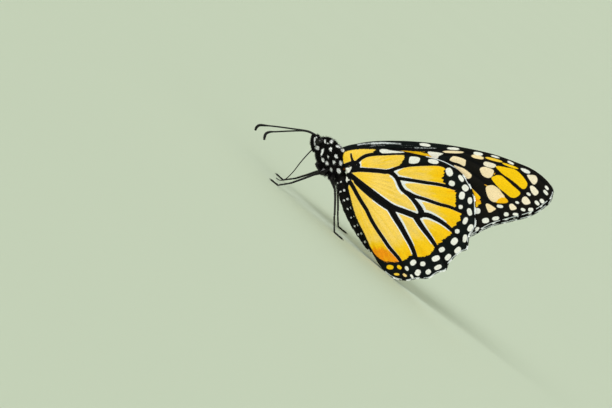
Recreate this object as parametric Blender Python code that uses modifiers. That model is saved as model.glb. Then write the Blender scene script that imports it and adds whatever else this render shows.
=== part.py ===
"""Monarch butterfly at rest with its wings closed over its back, life size, standing on a level surface.

The insect faces -X and its left side faces -Y. Sizes are in millimetres and MM turns them into metres.
Side-view points (x, z) are measured from the hindwing hinge. Wing outlines are drawn on one flat chart,
(u, v) from the same hinge, that is turned by WING_TURN and then bent so that the sheets clear the body.
"""

import math

import bmesh
import bpy
from mathutils import Matrix, Vector

MM = 0.001

# Stance
HINGE_X = -8.92  # the hindwing hinge, from the middle of the whole insect's length
HINGE_HEIGHT = 12.1  # and above the surface that it stands on
WING_TURN = math.radians(40)  # rise of the wing chart's u axis
DROOP_RIGHT = math.radians(-1.3)  # the right forewing hangs a little lower than the left one

# Wings
WING_THICK = 0.5
SHEET_STEP = 0.8  # between the middles of neighbouring sheets
HIND_CLOSED = 1.2  # the hindwing's distance from the middle plane where the wings lie together
HIND_AT_BODY = 2.62  # and beside the body
FLARE_NEAR, FLARE_FAR = 4.0, 11.0  # heights over the body's axis between which it closes
FLARE_BEND = 7  # straight bends over that height
CLASP_FROM, CLASP_TO = 24.0, 36.0  # distances along the axis between which it closes behind the abdomen
CAMBER, CAMBER_SPAN = 0.2, 24.0  # soft swell of the closed wings, over this height
SCORE_STEP = 5.0
SCORE_SNAP = 0.06  # a corner this near a score line counts as on it
FORE_HINGE = (-1.0, 5.0)
FORE_EDGE = (
    (-1.1, 6.1), (1.2, 6.85), (6.7, 7.7), (15.0, 7.7), (24.5, 6.75), (34.0, 4.85), (40.8, 2.5), (44.2, 1.0),
    (46.8, -0.85), (48.5, -2.5), (49.25, -4.1), (48.95, -5.5), (47.7, -6.95), (44.0, -9.4), (39.3, -10.8),
    (34.5, -12.2),
    (30.2, -14.5), (28.3, -15.1), (26.2, -14.5), (17.4, -8.8), (7.6, -2.0), (1.6, 2.2), (-0.6, 4.0),
)
FORE_POINTS = 64
HIND_HINGE = (0.0, 0.0)
HIND_EDGE = (
    (-0.5, 2.0), (-0.9, 3.8), (0.0, 5.6), (2.8, 6.15), (6.9, 6.2), (11.8, 5.6), (15.9, 4.85), (22.1, 3.35),
    (26.3, 1.2), (28.6, -1.2), (30.5, -5.2), (30.8, -9.0), (30.9, -11.7), (30.4, -13.4), (29.3, -14.8),
    (28.8, -18.0), (27.0, -18.9), (24.6, -21.2), (23.7, -23.1), (21.6, -23.8), (19.5, -25.1), (16.8, -25.2),
    (14.0, -25.7), (11.2, -25.1), (9.3, -23.8), (7.0, -20.6), (3.6, -14.0), (1.5, -9.5), (0.3, -5.0),
    (-0.3, -1.8),
)
HIND_POINTS = 72

# Trunk stations: x, top, bottom, half width
THORAX = (
    (-10.1, 2.7, 0.7, 0.8), (-9.5, 3.3, -0.6, 1.5), (-8.5, 3.95, -1.6, 2.15), (-7.2, 4.1, -2.4, 2.6),
    (-5.8, 4.0, -2.65, 2.75), (-4.4, 3.75, -2.7, 2.65), (-3.0, 3.1, -2.7, 2.45), (-1.8, 2.0, -2.6, 2.2),
    (-0.8, 0.7, -2.5, 1.9), (-0.3, -0.2, -2.4, 1.6),
)
THORAX_SQUARE = 2.4  # exponent of its section, where 2 is an ellipse
# Abdomen stations: distance along it, rise off its straight axis, half depth, half width
ABDOMEN_FROM, ABDOMEN_TO = (-1.2, -1.2), (16.4, -10.7)
ABDOMEN = (
    (0.0, 0.0, 1.45, 1.5), (1.4, 0.0, 1.7, 1.7), (3.2, -0.1, 2.0, 1.95), (5.4, -0.2, 2.2, 2.1),
    (8.0, -0.3, 2.25, 2.15), (10.6, -0.3, 2.15, 2.05), (13.2, -0.2, 1.95, 1.85), (15.6, -0.05, 1.65, 1.55),
    (17.6, 0.05, 1.3, 1.2), (19.2, 0.1, 0.9, 0.85), (19.9, 0.1, 0.5, 0.5),
)

# Head
HEAD_AT = (-10.0, 1.18)
HEAD_PITCH = math.radians(40)  # the face looks forward and down
HEAD_HALF = (1.15, 1.3, 1.9)  # fore and aft, across, tall
EYE_AT = (-9.8, 1.6)
EYE_SIDE = 1.0
EYE_HALF = (0.82, 0.88, 1.06)
PALP_FROM, PALP_TO = (-9.2, -1.26), (-12.1, 1.8)
PALP_SIDE = 0.64
PALP = (  # fraction of the length, half depth, half width
    (0.0, 0.2, 0.2), (0.12, 0.45, 0.3), (0.26, 0.62, 0.34), (0.42, 0.68, 0.5), (0.7, 0.66, 0.54),
    (0.9, 0.5, 0.42), (1.0, 0.2, 0.2),
)

# Feelers and tongue: x, side, z
FEELER_RADIUS, CLUB_RADIUS = 0.25, 0.36
FEELER_LEFT = (
    (-10.9, -0.45, 2.2), (-12.3, -0.75, 2.0), (-14.3, -2.0, 1.25), (-16.9, -4.1, -0.85), (-19.0, -6.2, -2.65),
    (-20.2, -7.6, -3.65), (-20.65, -8.3, -4.5), (-20.4, -8.6, -5.3), (-20.0, -8.7, -5.9),
)
FEELER_RIGHT = (
    (-10.9, 0.45, 2.25), (-12.3, 0.7, 2.05), (-13.8, 1.15, 1.5), (-16.5, 2.1, -0.25), (-19.9, 3.4, -2.5),
    (-22.3, 4.25, -4.2), (-23.3, 4.55, -5.0), (-23.55, 4.65, -5.85), (-23.3, 4.65, -6.65),
)
FEELER_POINTS = 22
CLUB_SHARE = 0.24  # of the feeler's length
TONGUE = (
    (-9.75, 0.0, -0.3), (-10.0, 0.0, -1.9), (-10.1, 0.0, -4.9), (-10.0, 0.0, -8.0), (-10.3, 0.0, -10.6),
    (-11.2, 0.0, -11.6), (-12.2, 0.0, -11.72),
)
TONGUE_RADIUS = 0.25
TONGUE_POINTS = 14

# Legs: x, side, height above the surface, radius
FORE_LEG = (
    (-5.9, 1.1, 10.1, 0.38), (-6.7, 1.6, 9.6, 0.38), (-7.0, 1.8, 9.3, 0.34), (-6.7, 1.95, 9.0, 0.32),
    (-5.2, 2.1, 8.4, 0.3), (-4.3, 2.05, 8.0, 0.26),
)
MID_LEG = (
    (-4.0, 1.3, 10.2, 0.5), (-4.4, 2.8, 9.0, 0.5), (-5.4, 5.1, 7.7, 0.4), (-5.8, 5.8, 7.2, 0.34),
    (-6.9, 7.0, 5.3, 0.33), (-8.3, 8.5, 3.0, 0.29), (-8.7, 8.9, 2.4, 0.27), (-10.3, 9.9, 0.62, 0.26),
    (-10.8, 10.15, 0.2, 0.26), (-12.8, 10.75, 0.2, 0.26),
)
HIND_LEG = (
    (-2.2, 1.1, 10.0, 0.5), (-1.8, 2.7, 8.8, 0.5), (-0.2, 4.9, 8.0, 0.42), (0.4, 5.5, 7.6, 0.34),
    (1.8, 6.5, 6.1, 0.33), (4.0, 7.9, 3.4, 0.29), (4.5, 8.2, 2.7, 0.27), (6.3, 9.1, 0.62, 0.26),
    (6.9, 9.35, 0.2, 0.26), (9.2, 9.8, 0.2, 0.26),
)

GAP = 0.05  # between neighbours
RING_SIDES = 18

BLACK = (0.012, 0.011, 0.012)
ORANGE = (0.78, 0.33, 0.03)
UMBER = (0.09, 0.05, 0.03)


def world(x, side, z):
    """A point given from the hinge, in metres from the insect's own origin."""
    return Vector((x + HINGE_X, side, z + HINGE_HEIGHT)) * MM


def material(name, colour, roughness):
    made = bpy.data.materials.new(name)
    made.use_nodes = True
    shader = made.node_tree.nodes["Principled BSDF"]
    shader.inputs["Base Color"].default_value = (*colour, 1)
    shader.inputs["Roughness"].default_value = roughness
    shader.inputs["Metallic"].default_value = 0
    return made


def add_object(name, mesh, collection, colour=BLACK, roughness=0.6):
    obj = bpy.data.objects.new(name, mesh)
    collection.objects.link(obj)
    if collection is not clearances:
        mesh.materials.append(material(name, colour, roughness))
    else:
        obj.hide_render = True
        obj.display_type = "WIRE"
    return obj


def mesh_from(name, build):
    """A mesh filled by build(bm), with its faces turned outwards."""
    bm = bmesh.new()
    build(bm)
    bmesh.ops.recalc_face_normals(bm, faces=bm.faces)
    mesh = bpy.data.meshes.new(name)
    bm.to_mesh(mesh)
    bm.free()
    mesh.shade_smooth()
    mesh.set_sharp_from_angle(angle=math.radians(50))
    return mesh


def cut(obj, *cutters):
    for cutter in cutters:
        boolean = obj.modifiers.new("Cut by " + cutter.name, "BOOLEAN")
        boolean.operation = "DIFFERENCE"
        boolean.object = cutter
    return obj


def cubic(t, p, q, r, s):
    """A smooth blend from q to r as t goes from 0 to 1, with p and s for neighbours."""
    return q + 0.5 * ((r - p) * t + (2 * p - 5 * q + 4 * r - s) * t**2 + (3 * q - p - 3 * r + s) * t**3)


def smooth_path(points, count):
    """count points, evenly spread, on a smooth curve through the given ones."""
    ends = [points[0], *points, points[-1]]
    dense = []
    for a, b, c, d in zip(ends, ends[1:], ends[2:], ends[3:]):
        for i in range(16):
            dense.append(tuple(cubic(i / 16, *values) for values in zip(a, b, c, d)))
    dense.append(tuple(points[-1]))
    run = [0.0]
    for a, b in zip(dense, dense[1:]):
        run.append(run[-1] + math.dist(a, b))
    path, j = [], 0
    for i in range(count):
        at = run[-1] * i / (count - 1)
        while j < len(run) - 2 and run[j + 1] < at:
            j += 1
        share = (at - run[j]) / (run[j + 1] - run[j])
        path.append(tuple(p + (q - p) * min(share, 1) for p, q in zip(dense[j], dense[j + 1])))
    return path


def bridge(bm, rings):
    """Joins each ring of vertices to the next one and closes both ends."""
    for a, b in zip(rings, rings[1:]):
        for i in range(len(a)):
            k = (i + 1) % len(a)
            bm.faces.new((a[i], a[k], b[k], b[i]))
    bm.faces.new(rings[0])
    bm.faces.new(rings[-1])


def section(half_width, half_height, exponent=2.0):
    """Points (across, up) round a superellipse."""
    points = []
    for i in range(RING_SIDES):
        angle = 2 * math.pi * i / RING_SIDES
        c, s = math.cos(angle), math.sin(angle)
        points.append(
            (
                half_width * math.copysign(abs(c) ** (2 / exponent), c),
                half_height * math.copysign(abs(s) ** (2 / exponent), s),
            )
        )
    return points


def thorax_mesh(name, grow=0.0):
    def build(bm):
        rings = []
        for x, top, bottom, half in THORAX:
            middle, tall = (top + bottom) / 2, (top - bottom) / 2
            x += grow * (2 * (x - THORAX[0][0]) / (THORAX[-1][0] - THORAX[0][0]) - 1)
            around = section(half + grow, tall + grow, THORAX_SQUARE)
            rings.append([bm.verts.new(world(x, across, middle + up)) for across, up in around])
        bridge(bm, rings)

    return mesh_from(name, build)


def axis_loft_mesh(name, start, end, side, stations):
    """A loft along a side-view line. Each station is (distance, rise, half depth, half width)."""
    along = Vector((end[0] - start[0], 0, end[1] - start[1])).normalized()
    rise = Vector((-along.z, 0, along.x))

    def build(bm):
        rings = []
        for distance, lift, deep, half in stations:
            middle = Vector((start[0], side, start[1])) + along * distance + rise * lift
            around = [middle + rise * up + Vector((0, across, 0)) for across, up in section(half, deep)]
            rings.append([bm.verts.new(world(*point)) for point in around])
        bridge(bm, rings)

    return mesh_from(name, build)


def ball_mesh(name, at, side, half, pitch=0.0, grow=0.0):
    """An ellipsoid with its middle at a side-view point."""

    def build(bm):
        bmesh.ops.create_uvsphere(bm, u_segments=16, v_segments=10, radius=1)
        size = Matrix.Diagonal([h + grow for h in half]).to_4x4()
        place = Matrix.Translation(world(at[0], side, at[1])) @ Matrix.Scale(MM, 4)
        bmesh.ops.transform(bm, matrix=place @ Matrix.Rotation(-pitch, 4, "Y") @ size, verts=bm.verts)

    return mesh_from(name, build)


def tube(name, points, radii, colour=BLACK, roughness=0.6, flat_foot=False):
    """A mesh tube through world points, from a bevelled curve. flat_foot cuts it level with the floor."""
    curve = bpy.data.curves.new(name, "CURVE")
    curve.dimensions = "3D"
    curve.bevel_depth = MM
    curve.bevel_resolution = 2
    curve.use_fill_caps = True
    spline = curve.splines.new("POLY")
    spline.points.add(len(points) - 1)
    for point, at, radius in zip(spline.points, points, radii):
        point.co = (*at, 1)
        point.radius = radius
    guide = bpy.data.objects.new(name + "_guide", curve)
    model.objects.link(guide)
    bpy.context.view_layer.update()
    mesh = bpy.data.meshes.new_from_object(guide.evaluated_get(bpy.context.evaluated_depsgraph_get()))
    bpy.data.objects.remove(guide)
    bm = bmesh.new()
    bm.from_mesh(mesh)
    bmesh.ops.remove_doubles(bm, verts=bm.verts, dist=1e-7)
    if flat_foot:
        down = {"plane_co": (0, 0, 0), "plane_no": (0, 0, -1), "clear_outer": True}
        sliced = bmesh.ops.bisect_plane(bm, geom=[*bm.verts, *bm.edges, *bm.faces], **down)
        bmesh.ops.holes_fill(bm, edges=[e for e in sliced["geom_cut"] if isinstance(e, bmesh.types.BMEdge)])
    bmesh.ops.recalc_face_normals(bm, faces=bm.faces)
    bm.to_mesh(mesh)
    bm.free()
    mesh.shade_smooth()
    mesh.set_sharp_from_angle(angle=math.radians(50))
    return add_object(name, mesh, model, colour, roughness)


def along_body(x, z):
    """How far along the line from head to abdomen's tip a side-view point is, and how high over it."""
    start = Vector(HEAD_AT)
    line = (Vector(ABDOMEN_TO) - start).normalized()
    away = Vector((x, z)) - start
    return away.dot(line), away.dot(Vector((-line.y, line.x)))


def eased(value, low, high):
    """0 up to low, 1 from high, and a smooth rise between."""
    t = min(max((value - low) / (high - low), 0), 1)
    return t * t * (3 - 2 * t)


def sheet_side(x, z, layers_in):
    """How far from the middle plane a wing sheet lies, layers_in sheets inside the hindwing."""
    along, over = along_body(x, z)
    spread = (1 - eased(over, FLARE_NEAR, FLARE_FAR)) * (1 - eased(along, CLASP_FROM, CLASP_TO))
    camber = CAMBER * math.sin(math.pi * min(max((over - FLARE_FAR) / CAMBER_SPAN, 0), 1)) ** 2
    return HIND_CLOSED + camber + (HIND_AT_BODY - HIND_CLOSED) * spread - SHEET_STEP * layers_in


def score(bm, distance, across):
    """Splits a flat sheet along a line parallel to the body's axis, or square to it with across set."""
    start = Vector((HEAD_AT[0], 0, HEAD_AT[1]))
    line = (Vector((ABDOMEN_TO[0], 0, ABDOMEN_TO[1])) - start).normalized()
    normal = line if across else Vector((-line.z, 0, line.x))
    plane = {"plane_co": start + normal * distance, "plane_no": normal, "dist": SCORE_SNAP}
    bmesh.ops.bisect_plane(bm, geom=[*bm.verts, *bm.edges, *bm.faces], **plane)


def wing(name, hinge, edge, count, layers_in, mirror, droop):
    """A wing: its flat outline, scored in straight lines, bent by sheet_side and given its thickness."""

    def build(bm):
        outline = []
        for u, v in [hinge, *smooth_path(edge, count)]:
            u, v = u - hinge[0], v - hinge[1]
            u, v = u * math.cos(droop) - v * math.sin(droop), u * math.sin(droop) + v * math.cos(droop)
            u, v = u + hinge[0], v + hinge[1]
            x = u * math.cos(WING_TURN) - v * math.sin(WING_TURN)
            z = u * math.sin(WING_TURN) + v * math.cos(WING_TURN)
            outline.append(bm.verts.new((x, 0, z)))
        bm.faces.new(outline)
        for i in range(FLARE_BEND + 1):
            score(bm, FLARE_NEAR + (FLARE_FAR - FLARE_NEAR) * i / FLARE_BEND, False)
        for i in range(1, 1 + math.ceil(CAMBER_SPAN / SCORE_STEP)):
            score(bm, FLARE_FAR + SCORE_STEP * i, False)
        for i in range(1, 13):
            score(bm, SCORE_STEP * i, True)
        bmesh.ops.triangulate(bm, faces=bm.faces)
        for vert in bm.verts:
            x, _, z = vert.co
            vert.co = world(x, mirror * sheet_side(x, z, layers_in), z)

    obj = add_object(name, mesh_from(name, build), model, ORANGE, 0.5)
    solidify = obj.modifiers.new("Thickness", "SOLIDIFY")
    solidify.thickness = WING_THICK * MM
    solidify.offset = 0
    return obj


def floor_cutter():
    """A slab whose top is the surface that the insect stands on."""
    size = 0.2

    def build(bm):
        bmesh.ops.create_cube(bm, size=size)
        bmesh.ops.translate(bm, verts=bm.verts, vec=(0, 0, -size / 2))

    return add_object("floor_cutter", mesh_from("floor_cutter", build), clearances)


def trunk_and_head():
    thorax = add_object("thorax", thorax_mesh("thorax"), model, UMBER, 0.8)
    rear = axis_loft_mesh("abdomen", ABDOMEN_FROM, ABDOMEN_TO, 0, ABDOMEN)
    abdomen = add_object("abdomen", rear, model, UMBER, 0.7)
    head = add_object("head", ball_mesh("head", HEAD_AT, 0, HEAD_HALF, HEAD_PITCH), model, BLACK, 0.7)
    near_thorax = add_object("thorax_clearance", thorax_mesh("thorax_clearance", GAP), clearances)
    around_head = ball_mesh("head_clearance", HEAD_AT, 0, HEAD_HALF, HEAD_PITCH, GAP)
    near_head = add_object("head_clearance", around_head, clearances)
    near_eyes = []
    for side, sign in (("left", -1), ("right", 1)):
        eye = ball_mesh("eye_" + side, EYE_AT, sign * EYE_SIDE, EYE_HALF, HEAD_PITCH)
        add_object("eye_" + side, eye, model, UMBER, 0.15)
        clear = ball_mesh("eye_clearance_" + side, EYE_AT, sign * EYE_SIDE, EYE_HALF, HEAD_PITCH, GAP)
        near_eyes.append(add_object("eye_clearance_" + side, clear, clearances))
        length = math.dist(PALP_FROM, PALP_TO)
        stations = [(length * share, 0, deep, half) for share, deep, half in PALP]
        palp = axis_loft_mesh("palp_" + side, PALP_FROM, PALP_TO, sign * PALP_SIDE, stations)
        cut(add_object("palp_" + side, palp, model, BLACK, 0.8), near_head, near_thorax, near_eyes[-1])
    cut(head, *near_eyes)
    cut(thorax, near_head, *near_eyes)
    cut(abdomen, near_thorax)
    return near_thorax, near_head


def feelers_and_tongue(near_head):
    for side, route in (("left", FEELER_LEFT), ("right", FEELER_RIGHT)):
        path = smooth_path(route, FEELER_POINTS)
        radii = []
        for i in range(FEELER_POINTS):
            into = max(0.0, (i / (FEELER_POINTS - 1) - 1 + CLUB_SHARE) / CLUB_SHARE)
            club = math.sin(math.pi * min(into * 1.25, 1) / 2) if into < 0.8 else 1 - 3 * (into - 0.8)
            radii.append(FEELER_RADIUS + (CLUB_RADIUS - FEELER_RADIUS) * club)
        cut(tube("antenna_" + side, [world(*p) for p in path], radii), near_head)
    path = smooth_path(TONGUE, TONGUE_POINTS)
    cut(tube("proboscis", [world(*p) for p in path], [TONGUE_RADIUS] * TONGUE_POINTS, UMBER, 0.4), near_head)


def legs(near_thorax):
    for name, route in (("foreleg", FORE_LEG), ("midleg", MID_LEG), ("hindleg", HIND_LEG)):
        for side, sign in (("left", -1), ("right", 1)):
            points = [world(x, sign * y, z - HINGE_HEIGHT) for x, y, z, _ in route]
            radii = [radius for *_, radius in route]
            cut(tube(f"{name}_{side}", points, radii, flat_foot=name != "foreleg"), near_thorax)


def wings(floor):
    for side, sign in (("left", -1), ("right", 1)):
        droop = DROOP_RIGHT if side == "right" else 0
        wing("forewing_" + side, FORE_HINGE, FORE_EDGE, FORE_POINTS, 1, sign, droop)
        cut(wing("hindwing_" + side, HIND_HINGE, HIND_EDGE, HIND_POINTS, 0, sign, 0), floor)


for old in list(bpy.data.objects):
    bpy.data.objects.remove(old, do_unlink=True)
model = bpy.data.collections.new("monarch_butterfly")
clearances = bpy.data.collections.new("clearances")
for collection in (model, clearances):
    bpy.context.scene.collection.children.link(collection)

thorax_clearance, head_clearance = trunk_and_head()
feelers_and_tongue(head_clearance)
legs(thorax_clearance)
wings(floor_cutter())
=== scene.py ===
"""The looks of a life-size monarch butterfly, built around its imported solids.

The insect faces -X with its left side towards -Y. Sizes are in millimetres, and MM turns them into metres.
Side-view points (x, z) are measured from the hindwing's hinge. The wings are drawn on one flat chart (u, v)
from the same hinge, which is turned by WING_TURN and then bent so that they clear the body.
"""

import logging
import math
from dataclasses import dataclass, field
from enum import Enum
from functools import partial
from typing import Any, Callable, Sequence

import bmesh
import bpy
import numpy as np
from mathutils import Matrix, Vector
from mathutils.geometry import delaunay_2d_cdt


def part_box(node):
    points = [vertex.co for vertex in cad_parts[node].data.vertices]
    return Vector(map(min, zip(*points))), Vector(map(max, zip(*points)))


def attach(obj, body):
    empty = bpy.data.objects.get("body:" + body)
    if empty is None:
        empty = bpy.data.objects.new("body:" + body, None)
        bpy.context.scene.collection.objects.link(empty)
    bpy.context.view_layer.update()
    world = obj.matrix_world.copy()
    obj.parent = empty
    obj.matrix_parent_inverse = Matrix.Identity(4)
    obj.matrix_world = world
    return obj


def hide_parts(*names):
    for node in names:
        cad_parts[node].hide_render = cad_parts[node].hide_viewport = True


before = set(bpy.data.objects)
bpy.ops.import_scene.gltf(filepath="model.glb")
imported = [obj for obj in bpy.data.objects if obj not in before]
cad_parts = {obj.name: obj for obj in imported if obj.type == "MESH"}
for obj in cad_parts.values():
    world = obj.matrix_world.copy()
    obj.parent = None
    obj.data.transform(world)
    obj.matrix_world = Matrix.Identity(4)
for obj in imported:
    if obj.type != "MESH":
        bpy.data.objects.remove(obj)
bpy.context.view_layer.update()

MM = 0.001
LOG = logging.getLogger("butterfly")
Points = np.ndarray
Pair = tuple[float, float]
Triple = tuple[float, float, float]
Route = tuple[Pair, ...]
Fields = dict[str, Points]

# Places in side view. The hinge follows from where the solid eye stands
EYE_AT = (-9.8, 1.6)
EYE_MIDDLE = sum(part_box("eye_left"), Vector()) / 2 / MM
HINGE = np.array((EYE_MIDDLE.x - EYE_AT[0], 0.0, EYE_MIDDLE.z - EYE_AT[1]))
HEAD_AT = (-10.0, 1.18)
HEAD_PITCH = math.radians(40)
ABDOMEN_FROM, ABDOMEN_TO = (-1.2, -1.2), (16.4, -10.7)

# How the chart is turned, how far the far forewing droops, and the outlines, which run from the hinge round
# the front edge to the margin and back
WING_TURN = math.radians(40)
DROOP_RIGHT = math.radians(-1.3)
FORE_HINGE = (-1.0, 5.0)
FORE_EDGE = (
    (-1.1, 6.1), (1.2, 6.85), (6.7, 7.7), (15.0, 7.7), (24.5, 6.75), (34.0, 4.85), (40.8, 2.5), (44.2, 1.0),
    (46.8, -0.85), (48.5, -2.5), (49.25, -4.1), (48.95, -5.5), (47.7, -6.95), (44.0, -9.4), (39.3, -10.8),
    (34.5, -12.2), (30.2, -14.5), (28.3, -15.1), (26.2, -14.5), (17.4, -8.8), (7.6, -2.0), (1.6, 2.2),
    (-0.6, 4.0),
)
HIND_HINGE = (0.0, 0.0)
HIND_EDGE = (
    (-0.5, 2.0), (-0.9, 3.8), (0.0, 5.6), (2.8, 6.15), (6.9, 6.2), (11.8, 5.6), (15.9, 4.85), (22.1, 3.35),
    (26.3, 1.2), (28.6, -1.2), (30.5, -5.2), (30.8, -9.0), (30.9, -11.7), (30.4, -13.4), (29.3, -14.8),
    (28.8, -18.0), (27.0, -18.9), (24.6, -21.2), (23.7, -23.1), (21.6, -23.8), (19.5, -25.1), (16.8, -25.2),
    (14.0, -25.7), (11.2, -25.1), (9.3, -23.8), (7.0, -20.6), (3.6, -14.0), (1.5, -9.5), (0.3, -5.0),
    (-0.3, -1.8),
)

# How far a painted vein's edge stands inside its band, a distance that stands for nowhere near, and the half
# width of a plain vein
VEIN_INSET = 0.13
NOWHERE_NEAR = 9.0
VEIN_WIDTH = 0.3

# The corners of the small patch that each tuft or long scale has in the UV map
PATCH_CORNERS = np.array([(0, 0), (0.003, 0), (0.003, 0.003), (0, 0.003)])


class Side(Enum):
    """Which half of the insect a piece belongs to. The value is the sign of its y."""

    LEFT = -1
    RIGHT = 1

    @property
    def word(self) -> str:
        """The side's name as the solids use it."""
        return self.name.lower()


# ---------------------------------------- curves and fields


def smooth_path(points: Sequence[Sequence[float]], step: float, closed: bool = False) -> Points:
    """A smooth curve through points, sampled evenly.

    Args:
        points: the points that it passes through, in any number of dimensions.
        step: the distance wanted between samples.
        closed: whether it runs back to the first point.

    Returns:
        The samples, one per row.
    """
    given = [points[-1], *points, points[0], points[1]] if closed else [points[0], *points, points[-1]]
    given = np.array(given, float)
    t = np.linspace(0, 1, 24, endpoint=False)[:, None]
    pieces = []
    for p, q, r, s in zip(given, given[1:], given[2:], given[3:]):
        cubic = (2 * p - 5 * q + 4 * r - s) * t**2 + (3 * q - p - 3 * r + s) * t**3
        pieces.append(0.5 * (2 * q + (r - p) * t + cubic))
    dense = np.vstack([*pieces, given[-2:-1]])
    run = np.r_[0, np.cumsum(np.linalg.norm(np.diff(dense, axis=0), axis=1))]
    count = max(3, int(round(run[-1] / step)) + 1)
    at = np.linspace(0, run[-1], count)
    return np.stack([np.interp(at, run, column) for column in dense.T], axis=1)


def unit(rows: Points) -> Points:
    """The directions of some arrows, one per row."""
    return rows / np.maximum(np.linalg.norm(rows, axis=1, keepdims=True), 1e-9)


def tipped(points: Points, pitch: float) -> Points:
    """Points turned about the side-to-side axis through the origin."""
    c, s = math.cos(pitch), math.sin(pitch)
    return points @ np.array([[c, 0, s], [0, 1, 0], [-s, 0, c]]).T


def eased(value: Points, low: float, high: float) -> Points:
    """0 up to low, 1 from high, and a smooth rise between."""
    t = np.clip((value - low) / (high - low), 0, 1)
    return t * t * (3 - 2 * t)


def along_body(x: Points, z: Points) -> tuple[Points, Points]:
    """Side-view points measured from the line between the head and the abdomen's tip.

    Args:
        x: how far behind the hinge each is.
        z: how far above the hinge each is.

    Returns:
        How far each is along the line, and how high over it.
    """
    line = np.subtract(ABDOMEN_TO, HEAD_AT)
    line = line / np.linalg.norm(line)
    dx, dz = x - HEAD_AT[0], z - HEAD_AT[1]
    return dx * line[0] + dz * line[1], dz * line[0] - dx * line[1]


def line_distance(at: Points, line: Points) -> tuple[Points, Points]:
    """How far points are from a line of straight runs.

    Args:
        at: the points, one per row.
        line: the line's corners, one per row.

    Returns:
        The distance from each point, and how far along the line its nearest place is, from 0 to 1.
    """
    best = np.full(len(at), np.inf)
    share = np.zeros(len(at))
    lengths = np.linalg.norm(np.diff(line, axis=0), axis=1)
    run, total = np.r_[0, np.cumsum(lengths)], lengths.sum()
    for i, (a, b) in enumerate(zip(line, line[1:])):
        t = np.clip(((at - a) @ (b - a)) / max(lengths[i] ** 2, 1e-12), 0, 1)
        away = np.linalg.norm(at - a - t[:, None] * (b - a), axis=1)
        nearer = away < best
        best[nearer] = away[nearer]
        share[nearer] = ((run[i] + t * lengths[i]) / total)[nearer]
    return best, share


def inside_of(at: Points, outline: Points) -> Points:
    """Which points lie within a closed outline.

    Args:
        at: the points, one per row.
        outline: the outline's corners, one per row.

    Returns:
        True for each point that does.
    """
    inside = np.zeros(len(at), bool)
    x, y = at[:, 0], at[:, 1]
    for (x0, y0), (x1, y1) in zip(outline, np.roll(outline, -1, axis=0)):
        crosses = (y0 > y) != (y1 > y)
        inside ^= crosses & (x < (x1 - x0) * (y - y0) / (y1 - y0 + 1e-30) + x0)
    return inside


def outline_distance(at: Points, outline: Points) -> Points:
    """Distance from a closed outline, negative within it."""
    away, _ = line_distance(at, np.vstack([outline, outline[:1]]))
    return np.where(inside_of(at, outline), -away, away)


def blob(points: Sequence[Sequence[float]], step: float = 0.2) -> Points:
    """A rounded closed outline through a few points."""
    return smooth_path(points, step, True)[:-1]


@dataclass(frozen=True)
class Spot:
    """An oval mark: its middle, half sizes, turn in degrees and tint.

    The tint runs from 0 for white, through cream and yellow, to 1 for orange.
    """

    u: float
    v: float
    long: float
    wide: float
    turn: float = 0.0
    tint: float = 0.0
    square: float = 2.5

    def distance(self, at: Points) -> Points:
        """How far points are from the oval's edge, nearly.

        Args:
            at: the points, one per row.

        Returns:
            The distances, negative within the oval.
        """
        c, s = math.cos(math.radians(self.turn)), math.sin(math.radians(self.turn))
        du, dv = at[:, 0] - self.u, at[:, 1] - self.v
        a, b = np.abs(du * c + dv * s) / self.long, np.abs(dv * c - du * s) / self.wide
        level = (a**self.square + b**self.square) ** (1 / self.square)
        return (level - 1) * math.sqrt(self.long * self.wide)

    def cover(self, at: Points, inner: float = -0.08, outer: float = 0.1) -> Points:
        """1 within the mark and 0 outside it, with a soft edge between two distances."""
        return 1 - eased(self.distance(at), inner, outer)

    def reach(self) -> tuple[Points, float]:
        """The middle, and a radius about it that holds the mark."""
        return np.array((self.u, self.v)), self.long


@dataclass(frozen=True)
class Patch:
    """A mark with an outline of its own, rounded through its points."""

    points: Route
    tint: float = 0.0

    def distance(self, at: Points) -> Points:
        """Signed distance from the outline, negative within it."""
        return outline_distance(at, blob(self.points))

    def reach(self) -> tuple[Points, float]:
        """A middle, and a radius about it that holds the mark."""
        middle = np.mean(self.points, axis=0)
        return middle, float(np.linalg.norm(np.array(self.points) - middle, axis=1).max()) + 0.3


@dataclass(frozen=True)
class Line:
    """A vein or stroke: its route on the chart, and the half widths of its band at both ends."""

    route: Route
    start: float = 0.3
    end: float = 0.24
    margin: float = 4.0

    def distance(self, at: Points) -> Points:
        """Signed distance from the edge of the band."""
        away, share = line_distance(at, smooth_path(self.route, 0.8))
        return away - (self.start + (self.end - self.start) * share)

    def reach(self) -> tuple[Points, float]:
        """Where the line matters.

        Returns:
            A middle, and a radius about it that holds the line with a margin round it.
        """
        route = np.array(self.route)
        middle = (route.min(0) + route.max(0)) / 2
        return middle, float(np.linalg.norm(route - middle, axis=1).max()) + self.margin


@dataclass(frozen=True)
class Lining:
    """A pale line that hugs the dark bands near its route. start and end are its half widths there."""

    route: Route
    start: float
    end: float
    near: float = 0.6

    def distance(self, at: Points, band: Points) -> Points:
        """How far points are from the edge of the lining.

        Args:
            at: the points, one per row.
            band: their distances from the dark bands.

        Returns:
            The distances, negative within it.
        """
        away, share = line_distance(at, smooth_path(self.route, 0.8))
        wide = 2 * (self.start + (self.end - self.start) * share)
        return np.maximum(band - wide - VEIN_INSET, away - self.near)


# ---------------------------------------- materials


def tone(red: int, green: int, blue: int) -> tuple[float, float, float, float]:
    """A colour as plain light.

    Args:
        red: the red in steps of 0 to 255, as a screen shows it.
        green: the green.
        blue: the blue.

    Returns:
        The colour as the shaders take it.
    """
    share = [channel / 255 for channel in (red, green, blue)]
    linear = [c / 12.92 if c <= 0.04045 else ((c + 0.055) / 1.055) ** 2.4 for c in share]
    return (*linear, 1.0)


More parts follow.
